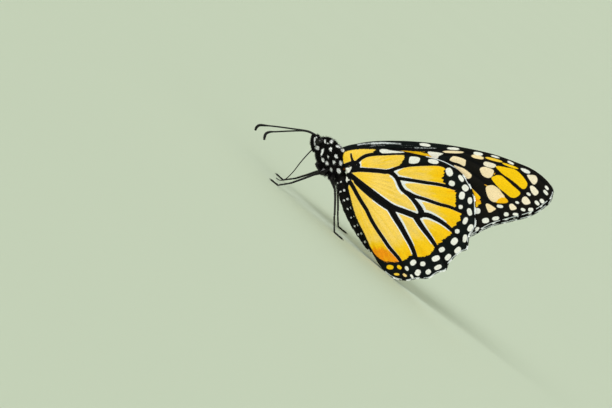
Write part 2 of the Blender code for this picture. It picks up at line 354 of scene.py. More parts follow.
class Value:
    """A node's output that can be reckoned with in plain expressions."""

    def __init__(self, graph: "Graph", socket: bpy.types.NodeSocket) -> None:
        """Keeps the socket and the graph that it belongs to."""
        self.graph, self.socket = graph, socket

    def __add__(self, other: Any) -> "Value":
        """The sum."""
        return self.graph.sum_up("ADD", self, other)

    def __sub__(self, other: Any) -> "Value":
        """The difference."""
        return self.graph.sum_up("SUBTRACT", self, other)

    def __rsub__(self, other: Any) -> "Value":
        """The difference the other way round."""
        return self.graph.sum_up("SUBTRACT", other, self)

    def __mul__(self, other: Any) -> "Value":
        """The product."""
        return self.graph.sum_up("MULTIPLY", self, other)

    __radd__, __rmul__ = __add__, __mul__

    def least(self, other: Any) -> "Value":
        """The smaller of the two."""
        return self.graph.sum_up("MINIMUM", self, other)

    def most(self, other: Any) -> "Value":
        """The larger of the two."""
        return self.graph.sum_up("MAXIMUM", self, other)

    def rise(self, low: float, high: float) -> "Value":
        """A smooth step.

        Args:
            low: where it is still 0.
            high: where it is 1. Below low, it makes the step fall instead.

        Returns:
            The step's height at the value.
        """
        if low > high:
            return 1.0 - self.rise(high, low)
        sockets = {"Value": self, "From Min": low, "From Max": high}
        return self.graph.add("ShaderNodeMapRange", {"interpolation_type": "SMOOTHSTEP"}, sockets)


class Graph:
    """The nodes of a material or a world, and the ways to add to them."""

    def __init__(self, owner: bpy.types.Material | bpy.types.World, shader: str) -> None:
        """Turns the owner's nodes on.

        Args:
            owner: a new material or world.
            shader: its shader's name.
        """
        owner.use_nodes = True
        self.owner = owner
        self.tree = owner.node_tree
        self.shader = self.tree.nodes[shader]

    def add(self, kind: str, settings: dict[str, Any], sockets: dict[Any, Any], out: Any = 0) -> Value:
        """Makes a node.

        Args:
            kind: the node's type.
            settings: its own settings, set first. "stops" holds a ramp's places and colours.
            sockets: what each input takes, by name or number: a Value or something plain.
            out: the name or number of the output wanted.

        Returns:
            That output.
        """
        node = self.tree.nodes.new(kind)
        for name, setting in settings.items():
            if name == "stops":
                self.set_stops(node.color_ramp, setting)
            else:
                setattr(node, name, setting)
        for name, given in sockets.items():
            self.feed(node.inputs[name], given)
        return Value(self, node.outputs[out])

    def set_stops(self, ramp: bpy.types.ColorRamp, stops: Sequence[tuple[float, Any]]) -> None:
        """Gives a ramp its stops.

        Args:
            ramp: the ramp.
            stops: the place and colour of each.
        """
        while len(ramp.elements) < len(stops):
            ramp.elements.new(1.0)
        for element, (place, colour) in zip(ramp.elements, stops):
            element.position, element.color = place, colour

    def feed(self, socket: bpy.types.NodeSocket, given: Any) -> None:
        """Gives an input what it takes.

        Args:
            socket: the input.
            given: a Value, which is linked, or something plain, which is set.
        """
        if isinstance(given, Value):
            self.tree.links.new(given.socket, socket)
        else:
            socket.default_value = given

    def sum_up(self, operation: str, a: Any, b: Any) -> Value:
        """One step of plain or vector arithmetic.

        Args:
            operation: what is done, by its name in the Math node.
            a: the first Value or number.
            b: the second.

        Returns:
            The result.
        """
        vectors = [v for v in (a, b) if isinstance(v, Value) and v.socket.type == "VECTOR"]
        if not vectors:
            return self.add("ShaderNodeMath", {"operation": operation}, {0: a, 1: b})
        return self.add("ShaderNodeVectorMath", {"operation": operation}, {0: a, 1: b})

    def field(self, name: str) -> Value:
        """A number kept on each point of the mesh."""
        return self.add("ShaderNodeAttribute", {"attribute_name": name}, {}, "Fac")

    def arrow(self, name: str) -> Value:
        """A vector kept on each point of the mesh."""
        return self.add("ShaderNodeAttribute", {"attribute_name": name}, {}, "Vector")

    def noise(self, at: Value, scale: float, detail: float = 2.0) -> Value:
        """Soft noise about 0, from -0.5 to 0.5."""
        return self.add("ShaderNodeTexNoise", {}, {"Vector": at, "Scale": scale, "Detail": detail}) - 0.5

    def cells(self, at: Value, out: str) -> Value:
        """Small cells: the "Distance" from their middles, or a random "Color" for each."""
        return self.add("ShaderNodeTexVoronoi", {}, {"Vector": at, "Scale": 1.0}, out)

    def blend(self, share: Any, first: Any, second: Any, how: str = "MIX") -> Value:
        """A colour between two others, or put together from them in another way."""
        settings = {"data_type": "RGBA", "blend_type": how}
        return self.add("ShaderNodeMix", settings, {0: share, 6: first, 7: second}, 2)

    def shade(self, colour: Any, by: Value) -> Value:
        """A colour made lighter or darker by a factor about 1."""
        grey = self.add("ShaderNodeCombineXYZ", {}, {0: by, 1: by, 2: by})
        return self.blend(1.0, colour, grey, "MULTIPLY")

    def ramp(self, value: Value, stops: Sequence[tuple[float, Any]]) -> Value:
        """The colour at a value on a ramp of colours."""
        return self.add("ShaderNodeValToRGB", {"stops": stops}, {0: value})

    def finish(self, colour: Any, roughness: Value, height: Value, depth: float) -> bpy.types.Material:
        """Feeds the shader and ends the material.

        Args:
            colour: the base colour.
            roughness: the roughness.
            height: relief for the bump, about 0 to 1.
            depth: what a height of 1 is, in millimetres.

        Returns:
            The material.
        """
        self.feed(self.shader.inputs["Base Color"], colour)
        self.feed(self.shader.inputs["Roughness"], roughness)
        sockets = {"Height": height, "Distance": depth * MM, "Strength": 1.0}
        self.feed(self.shader.inputs["Normal"], self.add("ShaderNodeBump", {}, sockets))
        return self.owner


@dataclass(frozen=True)
class Finish:
    """A surface finish. make() builds its nodes, once."""

    name: str
    specular: float = 0.5

    def material(self) -> bpy.types.Material:
        """The finish as a material.

        Returns:
            The material, made at its first use.
        """
        made = bpy.data.materials.get(self.name)
        if made is None:
            graph = Graph(bpy.data.materials.new(self.name), "Principled BSDF")
            graph.shader.inputs["Specular IOR Level"].default_value = self.specular
            made = self.make(graph)
        return made

    def make(self, g: Graph) -> bpy.types.Material:
        """Builds the nodes."""
        raise NotImplementedError


@dataclass(frozen=True)
class WingFinish(Finish):
    """Wing scales: coloured cells between dark veins, a dark border, and light marks.

    The mesh keeps signed distances in millimetres on its points, which this turns into colours.
    """

    gold: tuple = tone(255, 205, 34)
    bright: tuple = tone(255, 198, 6)
    peach: tuple = tone(252, 212, 104)
    deep: tuple = tone(250, 152, 14)
    inner: tuple = tone(226, 108, 14)
    white: tuple = tone(243, 240, 236)
    cream: tuple = tone(252, 224, 178)
    yellow: tuple = tone(255, 204, 4)
    lining: tuple = tone(236, 240, 247)
    teal: tuple = tone(6, 13, 13)
    brown: tuple = tone(13, 10, 6)
    black: tuple = tone(3, 3, 4)
    scales_per_mm: Triple = (5.0, 9.0, 1.0)
    relief: float = 0.035

    def make(self, g: Graph) -> bpy.types.Material:
        """Builds the nodes.

        Args:
            g: the material's graph.

        Returns:
            The material.
        """
        chart, upper = g.arrow("chart"), g.field("upper")
        outer = 1.0 - upper
        ragged = g.noise(chart, 3.2, 3.0)
        fine = g.noise(chart, 8.0)
        streak = g.noise(g.arrow("ray"), 1.0)
        teeth = g.noise(g.arrow("tooth"), 1.0)
        band, grid = g.field("band"), chart * self.scales_per_mm
        # The orange, from peach near the hinge to deep orange at the corner, and darker on the inner face
        depth = (g.field("depth") + streak * 0.8 + fine * 0.25).least(1.0).most(0.0)
        cell = g.ramp(depth, [(0.0, self.peach), (0.4, self.gold), (0.7, self.bright), (1.0, self.deep)])
        cell = g.blend(upper * 0.85, cell, self.inner)
        # The pale linings beside the veins
        pale = g.field("pale") + ragged * 0.16 + fine * 0.1 + upper * 3.0
        cell = g.blend(pale.rise(0.06, -0.08) * 0.92, cell, self.lining)
        # The dark ground outside the orange, and the veins over both
        zone = g.field("zone") + ragged * 0.4 + teeth * g.field("toothed") + fine * 0.3
        ground = g.shade(g.blend(g.field("earth"), self.teal, self.brown), 1.0 + fine * 1.3 + ragged * 0.6)
        cell = g.blend(zone.rise(-0.06, 0.08), cell, ground)
        vein = band - VEIN_INSET + ragged * 0.16 + fine * 0.16 - upper * 0.12
        cell = g.blend(vein.rise(0.05, -0.05), cell, self.black)
        # A painted highlight: a faint pale line down the middle of some vein bands on the outer face,
        # standing for the shine of the raised vein
        core = g.field("core") + fine * 0.1
        cell = g.blend(core.rise(0.05, -0.06) * outer * 0.3, cell, self.lining)
        frost = g.field("frost") + ragged * 0.4 + fine * 0.5
        cell = g.blend(frost.rise(0.12, -0.16) * outer * 0.9, cell, self.lining)
        # The light marks, and a broken pale rim
        tint = g.field("tint") + fine * 0.12
        light = g.ramp(tint, [(0.0, self.white), (0.35, self.cream), (0.75, self.yellow), (1.0, self.deep)])
        mark = g.field("mark") + 0.03 + ragged * 0.16 + fine * 0.18 + upper * 0.25
        cell = g.blend(mark.rise(0.07, -0.07), cell, g.shade(light, 1.0 + ragged * 0.12))
        rim = g.field("rim") + ragged * 0.12
        broken = (band + streak * 0.7 + fine * 0.4).rise(0.12, 0.35)
        cell = g.blend(rim.rise(0.2, 0.13) * broken * 0.9, cell, self.lining)
        # Each scale a little lighter or darker than the next
        jitter = g.add("ShaderNodeSeparateXYZ", {}, {0: g.cells(grid, "Color")})
        cell = g.shade(cell, 1.0 + (jitter - 0.5) * 0.22)
        scales = g.cells(grid, "Distance")
        return g.finish(cell, 0.52 + fine * 0.25 + scales * 0.12, scales + streak * 0.6, self.relief)


@dataclass(frozen=True)
class FurFinish(Finish):
    """Hair and body scales. The points keep how white and how orange the coat is there."""

    dark: tuple = tone(7, 6, 8)
    brown: tuple = tone(24, 18, 16)
    white: tuple = tone(250, 250, 252)
    orange: tuple = tone(205, 112, 30)
    grains_per_mm: Triple = (4.0, 12.0, 12.0)
    relief: float = 0.06

    def make(self, g: Graph) -> bpy.types.Material:
        """Builds the nodes.

        Args:
            g: the material's graph.

        Returns:
            The material.
        """
        at = g.arrow("place")
        mottle = g.noise(at, 1.1, 3.0)
        grain = g.noise(at * self.grains_per_mm, 1.0)
        coat = g.blend((mottle * 1.4 + 0.3).rise(0.0, 1.0), self.dark, self.brown)
        coat = g.blend((g.field("orange") + mottle * 0.2).rise(0.35, 0.6), coat, self.orange)
        coat = g.blend((g.field("white") + grain * 0.25).rise(0.4, 0.6), coat, self.white)
        coat = g.shade(coat, 1.0 + grain * 0.5 + g.field("shine") * 0.35)
        return g.finish(coat, 0.55 + grain * 0.3, grain + mottle * 0.5, self.relief)


@dataclass(frozen=True)
class HornFinish(Finish):
    """Smooth bare horn, as on the eyes, feelers, legs and tongue."""

    colour: tuple = tone(7, 6, 7)
    second: tuple = tone(20, 17, 16)
    rough: float = 0.4
    size: float = 5.0
    relief: float = 0.02

    def make(self, g: Graph) -> bpy.types.Material:
        """Builds the nodes.

        Args:
            g: the material's graph.

        Returns:
            The material.
        """
        at = g.arrow("place")
        mottle = g.noise(at, self.size * 0.3, 3.0)
        grain = g.noise(at, self.size * 2.4)
        colour = g.blend((mottle + 0.45).rise(0.1, 0.9), self.colour, self.second)
        return g.finish(colour, self.rough + mottle * 0.3 + grain * 0.1, grain, self.relief)


@dataclass(frozen=True)
class FloorFinish(Finish):
    """A matt pale studio floor."""

    colour: tuple = tone(200, 209, 190)

    def make(self, g: Graph) -> bpy.types.Material:
        """Builds the nodes.

        Args:
            g: the material's graph.

        Returns:
            The material.
        """
        at = g.add("ShaderNodeTexCoord", {}, {}, "Object")
        grain, cloud = g.noise(at, 900.0), g.noise(at, 6.0)
        colour = g.shade(self.colour, 1.0 + grain * 0.02 + cloud * 0.02)
        return g.finish(colour, 0.85 + grain * 0.1, grain, 0.01)


WING_SCALES = WingFinish("wing_scales", specular=0.1)
FRINGE_SCALES = FurFinish("fringe_scales", specular=0.1)
FUR = FurFinish("fur", specular=0.12)
EYE_LENSES = HornFinish("eye_lenses", 0.3, tone(3, 3, 3), tone(12, 8, 6), 0.16, 3.0, 0.004)
FEELER_HORN = HornFinish("feeler_horn", 0.2, tone(5, 5, 6), tone(14, 11, 10), 0.42, 6.0, 0.015)
TONGUE_HORN = HornFinish("tongue_horn", 0.25, tone(12, 9, 8), tone(30, 20, 15), 0.34, 5.0, 0.01)
LEG_HORN = HornFinish("leg_horn", 0.25)


# ---------------------------------------- meshes


def stood(name: str, data: Any) -> bpy.types.Object:
    """A new object that stands in the scene.

    Args:
        name: its name.
        data: its mesh, lamp or camera.

    Returns:
        The object.
    """
    made = bpy.data.objects.new(name, data)
    bpy.context.scene.collection.objects.link(made)
    return made


@dataclass
class Shell:
    """A mesh in the making: points in millimetres in the part's frame, faces, and fields of the points."""

    points: Points = field(default_factory=lambda: np.zeros((0, 3)))
    faces: list[Points] = field(default_factory=list)
    fields: Fields = field(default_factory=dict)
    patches: list[Points] = field(default_factory=list)

    def join(self, other: "Shell") -> None:
        """Adds another mesh as loose parts of this one. A field that one of them lacks is 0 there.

        Args:
            other: the mesh.
        """
        start = len(self.points)
        for name, like in {**self.fields, **other.fields}.items():
            mine = self.fields.get(name, np.zeros((start, *like.shape[1:])))
            theirs = other.fields.get(name, np.zeros((len(other.points), *like.shape[1:])))
            self.fields[name] = np.concatenate([mine, theirs])
        self.points = np.vstack([self.points, other.points])
        self.faces += [faces + start for faces in other.faces]
        self.patches += other.patches

    def piece(self, name: str, finish: Finish, smooth: bool = True) -> bpy.types.Object:
        """The finished object, riding on the insect's body.

        Args:
            name: the object's name.
            finish: what it is made of.
            smooth: whether its shading is smooth.

        Returns:
            The object.
        """
        mesh = bpy.data.meshes.new(name)
        sizes = np.concatenate([np.full(len(faces), faces.shape[1]) for faces in self.faces])
        corners = np.concatenate([faces.ravel() for faces in self.faces]).astype(np.int32)
        mesh.vertices.add(len(self.points))
        mesh.vertices.foreach_set("co", (self.points * MM).astype(np.float32).ravel())
        mesh.loops.add(len(corners))
        mesh.loops.foreach_set("vertex_index", corners)
        mesh.polygons.add(len(sizes))
        mesh.polygons.foreach_set("loop_start", (np.cumsum(sizes) - sizes).astype(np.int32))
        mesh.polygons.foreach_set("use_smooth", np.full(len(sizes), smooth))
        mesh.update(calc_edges=True)
        for label, kept in {"place": self.points, **self.fields}.items():
            kind, key = ("FLOAT_VECTOR", "vector") if kept.ndim == 2 else ("FLOAT", "value")
            mesh.attributes.new(label, kind, "POINT").data.foreach_set(key, kept.astype(np.float32).ravel())
        if self.patches:
            unwrap = mesh.uv_layers.new(name="OFBake")
            unwrap.data.foreach_set("uv", np.concatenate(self.patches).astype(np.float32).ravel())
        mesh.materials.append(finish.material())
        made = stood(name, mesh)
        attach(made, "root")
        return made


def loft_shell(rings: Points) -> Shell:
    """A closed skin over rings of points, with a point at the middle of each end.

    Args:
        rings: the points, by ring and by place round it.

    Returns:
        The skin.
    """
    count, sides = rings.shape[:2]
    points = np.vstack([rings.reshape(-1, 3), rings[0].mean(0), rings[-1].mean(0)])
    i, j = np.meshgrid(np.arange(count - 1), np.arange(sides), indexing="ij")
    this, k = i * sides, (j + 1) % sides
    quads = np.stack([this + j, this + k, this + sides + k, this + sides + j], -1).reshape(-1, 4)
    j, k, last = j[0], k[0], (count - 1) * sides
    start = np.stack([k, j, np.full(sides, count * sides)], -1)
    end = np.stack([last + j, last + k, np.full(sides, count * sides + 1)], -1)
    return Shell(points, [quads, np.vstack([start, end])])


def tube_shell(path: Points, radii: Points, sides: int, flat: float = 1.0) -> Shell:
    """A closed round tube.

    Args:
        path: the points along its middle, in millimetres.
        radii: its radius at each of them.
        sides: how many faces go round it.
        flat: how thick it is up and down, as a share of its width.

    Returns:
        The tube.
    """
    ahead = unit(np.gradient(path, axis=0))
    across = np.zeros_like(ahead)
    across[0] = np.cross(ahead[0], (0.3, 0.2, 0.93))
    for i in range(len(path)):
        if i:
            across[i] = across[i - 1]
        across[i] -= ahead[i] * (across[i] @ ahead[i])
        across[i] /= np.linalg.norm(across[i])
    over = np.cross(ahead, across)
    turn = (2 * np.pi * np.arange(sides) / sides)[None, :, None]
    round_it = np.cos(turn) * across[:, None] + np.sin(turn) * over[:, None] * flat
    return loft_shell(path[:, None] + round_it * radii[:, None, None])


# ---------------------------------------- wings


@dataclass(frozen=True)
class Markings:
    """Everything that colours one wing's outer face, in chart millimetres."""

    veins: tuple[Line, ...]
    zone: Route
    marks: tuple[Spot | Patch, ...]
    linings: tuple[Lining, ...] = ()
    frost: tuple[Line, ...] = ()
    # Lines along which a painted highlight runs down the middle of a vein
    cores: tuple[Line, ...] = ()
    hug: float = 0.0

    def nearest(self, at: Points, marks: Sequence[Any]) -> tuple[Points, Points]:
        """The nearest of some marks.

        Args:
            at: chart points.
            marks: the marks or lines.

        Returns:
            The signed distance from it, and which one it is.
        """
        away = np.full(len(at), NOWHERE_NEAR)
        which = np.zeros(len(at), int)
        for i, mark in enumerate(marks):
            middle, reach = mark.reach()
            close = np.linalg.norm(at - middle, axis=1) < reach + 1.0
            if close.any():
                distance = mark.distance(at[close])
                nearer = distance < away[close]
                chosen = np.flatnonzero(close)[nearer]
                away[chosen] = distance[nearer]
                which[chosen] = i
        return away, which

    def fields(self, at: Points) -> Fields:
        """The numbers that the wing finish reads.

        Args:
            at: chart points.

        Returns:
            The fields, by name.
        """
        u, v = at[:, 0], at[:, 1]
        angle, radius = np.arctan2(v, u), np.linalg.norm(at, axis=1)
        middling = eased(u, 7.0, 10.0) * (1 - eased(radius, 19.0, 25.0)) * (1 - eased(v, -3.0, -0.5))
        mark, which = self.nearest(at, self.marks)
        band = self.nearest(at, self.veins)[0]
        # A thin lining hugs every vein in the middle of the wing, and the listed ones are wider
        linings = [band - VEIN_INSET - self.hug * middling]
        linings += [lining.distance(at, band) for lining in self.linings]
        return {
            "band": band,
            "zone": outline_distance(at, blob(self.zone, 0.4)),
            "mark": mark,
            "tint": np.array([m.tint for m in self.marks])[which],
            "pale": np.min(linings, axis=0),
            "frost": self.nearest(at, self.frost)[0],
            # Distance from the painted vein highlight
            "core": self.nearest(at, self.cores)[0],
            "ray": np.stack([angle * 26, radius * 0.32, np.zeros(len(at))], axis=1),
            "tooth": np.stack([angle * radius * 1.7, radius * 0.25, np.ones(len(at))], axis=1),
            "toothed": 1.5 * eased(radius, 11.0, 15.0) * eased(angle, math.radians(-72), math.radians(-60)),
            "chart": np.column_stack([at, np.zeros(len(at))]),
        }


HIND_MARKINGS = Markings(
    veins=(
        Line(((0.7, 1.2), (2.1, 2.4), (3.3, 3.5), (4.5, 4.2), (5.9, 4.5), (7.9, 4.65), (13.8, 4.75),
            (17.4, 4.1)), 0.34, 0.2),
        Line(((2.0, 2.5), (1.35, 3.3), (1.1, 4.7)), 0.26, 0.08),
        Line(((-1.0, 1.75), (0.3, 2.25), (1.4, 2.6), (2.4, 2.6)), 0.3, 0.38),
        Line(((1.0, 0.75), (2.6, 0.95), (4.3, 0.9), (7.4, 0.65), (9.6, 0.4), (10.8, 0.7)), 0.42, 0.4),
        Line(((9.8, 0.5), (11.2, 1.0), (12.6, 1.5), (15.0, 2.0), (18.6, 2.2), (21.7, 2.2), (23.3, 1.8),
            (27.4, 0.2)), 0.3, 0.22),
        Line(((1.4, 1.6), (2.1, 1.75), (2.7, 2.0)), 0.32, 0.5),
        Line(((9.8, 0.5), (10.9, 0.0), (11.9, -1.0), (12.4, -2.1), (12.9, -3.3), (13.8, -4.3), (14.8, -5.1),
            (15.9, -6.3)), 0.42, 0.34),
        Line(((15.9, -6.3), (17.0, -7.7), (17.75, -9.1), (17.6, -9.9)), 0.36, 0.6),
        Line(((12.1, -1.1), (16.2, -1.7), (18.6, -2.1), (22.1, -2.6), (24.5, -3.2), (25.9, -3.6),
            (30.2, -4.4))),
        Line(((14.3, -4.4), (16.2, -5.4), (18.6, -6.1), (22.1, -7.3), (24.5, -7.9), (27.8, -9.3),
            (30.8, -10.3))),
        Line(((17.5, -9.75), (19.2, -9.85), (20.6, -10.4), (22.6, -11.5), (24.4, -12.9), (25.9, -14.3),
            (28.9, -16.9)), 0.5, 0.18),
        Line(((1.0, -0.35), (3.3, -2.2), (5.7, -4.1), (8.1, -6.0), (10.3, -7.6), (11.7, -8.35), (13.8, -9.1),
            (15.7, -9.85), (16.9, -10.3)), 0.5, 0.58),
        Line(((2.4, -1.8), (4.6, -3.9), (7.9, -6.5), (11.0, -8.5)), 0.55, 0.72),
        Line(((0.0, 1.4), (0.5, 0.3), (0.6, -0.8), (0.3, -2.4)), 0.6, 0.3),
        Line(((16.5, -10.5), (17.5, -12.1), (18.5, -13.5), (19.6, -14.9), (20.7, -16.5), (21.8, -18.3),
            (23.9, -22.2)), 0.54, 0.18),
        Line(((10.2, -8.0), (11.55, -10.4), (12.9, -12.6), (14.1, -14.8), (15.3, -17.0), (16.2, -19.3),
            (17.9, -25.0)), 0.62, 0.24),
        Line(((0.7, -1.7), (1.7, -3.3), (2.6, -5.0), (3.6, -6.7), (4.8, -8.6), (5.7, -10.5), (6.9, -12.6),
            (8.8, -15.5), (10.2, -17.6), (11.7, -19.4), (12.9, -21.2), (13.6, -25.5)), 0.36, 0.26),
        Line(((0.5, -1.9), (0.1, -3.3), (0.4, -5.2), (0.7, -7.6), (1.1, -8.6)), 0.2, 0.15),
    ),
    zone=(
        (-0.8, 4.2), (0.3, 5.35), (2.8, 5.75), (6.9, 5.7), (6.3, 5.2), (7.2, 4.5), (13.2, 4.6), (13.5, 3.2),
        (12.7, 2.1), (12.4, 1.4), (15.0, 2.1), (22.6, 1.7), (23.1, 0.7), (22.8, -1.2), (23.3, -2.4),
        (25.7, -3.6), (25.8, -7.9), (27.1, -9.0), (26.7, -11.2), (25.1, -13.1), (25.0, -14.0), (21.4, -17.0),
        (20.9, -17.8), (19.3, -19.5), (16.4, -19.9), (15.7, -19.3), (13.1, -20.9), (11.7, -21.1),
        (8.7, -20.7), (6.4, -18.6), (4.4, -14.4), (2.2, -9.8), (0.9, -5.0), (0.2, -2.0),
    ),
    marks=(
        Patch(((15.2, 4.05), (16.9, 3.95), (17.5, 3.5), (16.9, 2.5), (15.0, 2.4), (14.8, 3.2))),
        Spot(20.6, 2.9, 1.3, 0.55, -10), Spot(24.4, 0.4, 1.07, 0.8, -65), Spot(2.3, 2.05, 0.2, 0.07, 25),
        Spot(27.2, -1.1, 0.95, 0.5, -55), Spot(25.0, -2.3, 0.76, 0.64, -20),
        Spot(28.2, -3.4, 0.85, 0.75, -50), Spot(27.4, -5.2, 0.95, 0.7, 80), Spot(29.3, -6.4, 0.83, 0.55, 90),
        Spot(27.1, -7.9, 0.52, 0.52), Spot(29.2, -9.1, 0.95, 0.58, -75), Spot(28.2, -11.2, 0.9, 0.55, 65),
        Spot(29.4, -12.9, 0.95, 0.6, 60), Spot(26.3, -13.7, 0.58, 0.55), Spot(28.1, -15.4, 1.0, 0.52, 80),
        Spot(25.6, -16.1, 0.95, 0.75, 50), Spot(26.4, -18.2, 0.95, 0.62, 45),
        Spot(22.6, -18.1, 0.78, 0.6, 25), Spot(24.1, -19.9, 0.9, 0.62, 50), Spot(21.2, -20.2, 1.0, 0.68, 20),
        Spot(21.7, -22.3, 0.95, 0.55, 25), Spot(19.4, -23.4, 0.68, 0.6, 40), Spot(18.1, -21.5, 0.65, 0.58),
        Spot(15.8, -21.2, 0.78, 0.65, 40), Spot(16.9, -23.6, 0.8, 0.68, 60),
        Spot(14.3, -22.6, 0.62, 0.42, -60), Spot(15.5, -24.5, 0.62, 0.3, -55),
        Spot(10.3, -22.3, 0.85, 0.55, -5, 0.75), Spot(12.5, -22.3, 0.65, 0.42, -40, 0.75),
        Spot(11.9, -24.0, 0.68, 0.3, -5, 0.7), Spot(13.8, -24.2, 0.58, 0.33, -35, 0.5),
        Patch(((-0.2, 1.4), (0.5, 1.45), (1.25, 1.75), (1.15, 1.05), (0.6, 0.3), (0.0, 0.2), (-0.35, 0.8))),
        Patch(((-0.3, -0.9), (0.25, -0.7), (0.45, -1.15), (0.95, -1.5), (0.4, -1.65), (0.15, -2.15),
            (-0.15, -1.6), (-0.5, -1.4))),
        Patch(((7.8, 5.6), (8.9, 5.85), (10.8, 5.5), (13.4, 5.2), (13.7, 4.95), (10.8, 4.85), (8.9, 4.75),
            (8.1, 5.0))),
    ),
    linings=(
        Lining(((10.6, -1.0), (11.5, -1.9), (12.1, -3.2), (12.95, -4.45)), 0.22, 0.24),
        Lining(((17.2, -9.3), (16.2, -9.45), (14.4, -8.95), (13.1, -8.3), (11.4, -7.6), (9.9, -6.4),
            (8.1, -4.9), (6.7, -3.7)), 0.26, 0.1),
        Lining(((15.0, -6.0), (16.4, -7.3), (17.2, -8.9)), 0.08, 0.16),
        Lining(((11.4, 0.1), (12.8, 0.6), (13.8, 1.0)), 0.32, 0.0),
        Lining(((11.4, 0.0), (13.2, -0.6), (15.0, -0.9)), 0.25, 0.08),
        Lining(((13.5, -2.2), (15.0, -2.35), (16.3, -2.4)), 0.3, 0.08),
        Lining(((13.6, -2.7), (14.4, -3.6), (15.6, -4.4), (17.0, -5.0)), 0.35, 0.12),
        Lining(((16.2, -5.9), (17.3, -6.6), (18.8, -6.9)), 0.4, 0.1),
        Lining(((16.6, -6.3), (17.3, -7.0), (18.4, -8.4), (20.4, -9.4), (22.6, -10.5),
            (23.4, -11.1)), 0.4, 0.14),
        Lining(((17.4, -10.7), (19.4, -10.7), (21.5, -11.5), (22.6, -12.2), (24.0, -13.3)), 0.26, 0.1),
        Lining(((17.4, -11.2), (18.6, -12.7), (19.5, -13.8), (20.6, -15.4)), 0.24, 0.08),
        Lining(((12.0, -9.4), (14.1, -10.4), (16.1, -11.3), (17.1, -13.0), (18.6, -14.9),
            (19.8, -16.4)), 0.12, 0.1),
        Lining(((11.3, -9.4), (12.0, -10.2), (13.2, -12.0), (14.6, -14.5), (15.8, -16.7)), 0.3, 0.1),
        Lining(((6.7, -6.4), (8.8, -8.3), (10.2, -10.2), (11.7, -12.7), (12.7, -14.4), (14.0, -16.5),
            (15.2, -18.8)), 0.12, 0.1),
        Lining(((3.35, 2.35), (3.3, 1.95), (3.5, 1.5), (4.2, 1.3)), 0.14, 0.06),
        Lining(((4.2, 1.4), (7.0, 1.2), (8.7, 0.95), (10.6, 1.4)), 0.02, 0.08),
    ),
    hug=0.12,
    frost=(
        Line(((27.1, 1.0), (29.2, -1.3), (30.5, -4.6), (30.8, -9.3)), 0.1, 0.05),
    ),
    # The painted highlight down the middle of the cubital vein's band
    cores=(
        Line(((4.2, -3.3), (5.5, -4.3), (7.2, -5.6), (8.8, -6.8), (10.4, -7.9), (12.0, -8.7)), 0.0, -0.05),
    ),
)

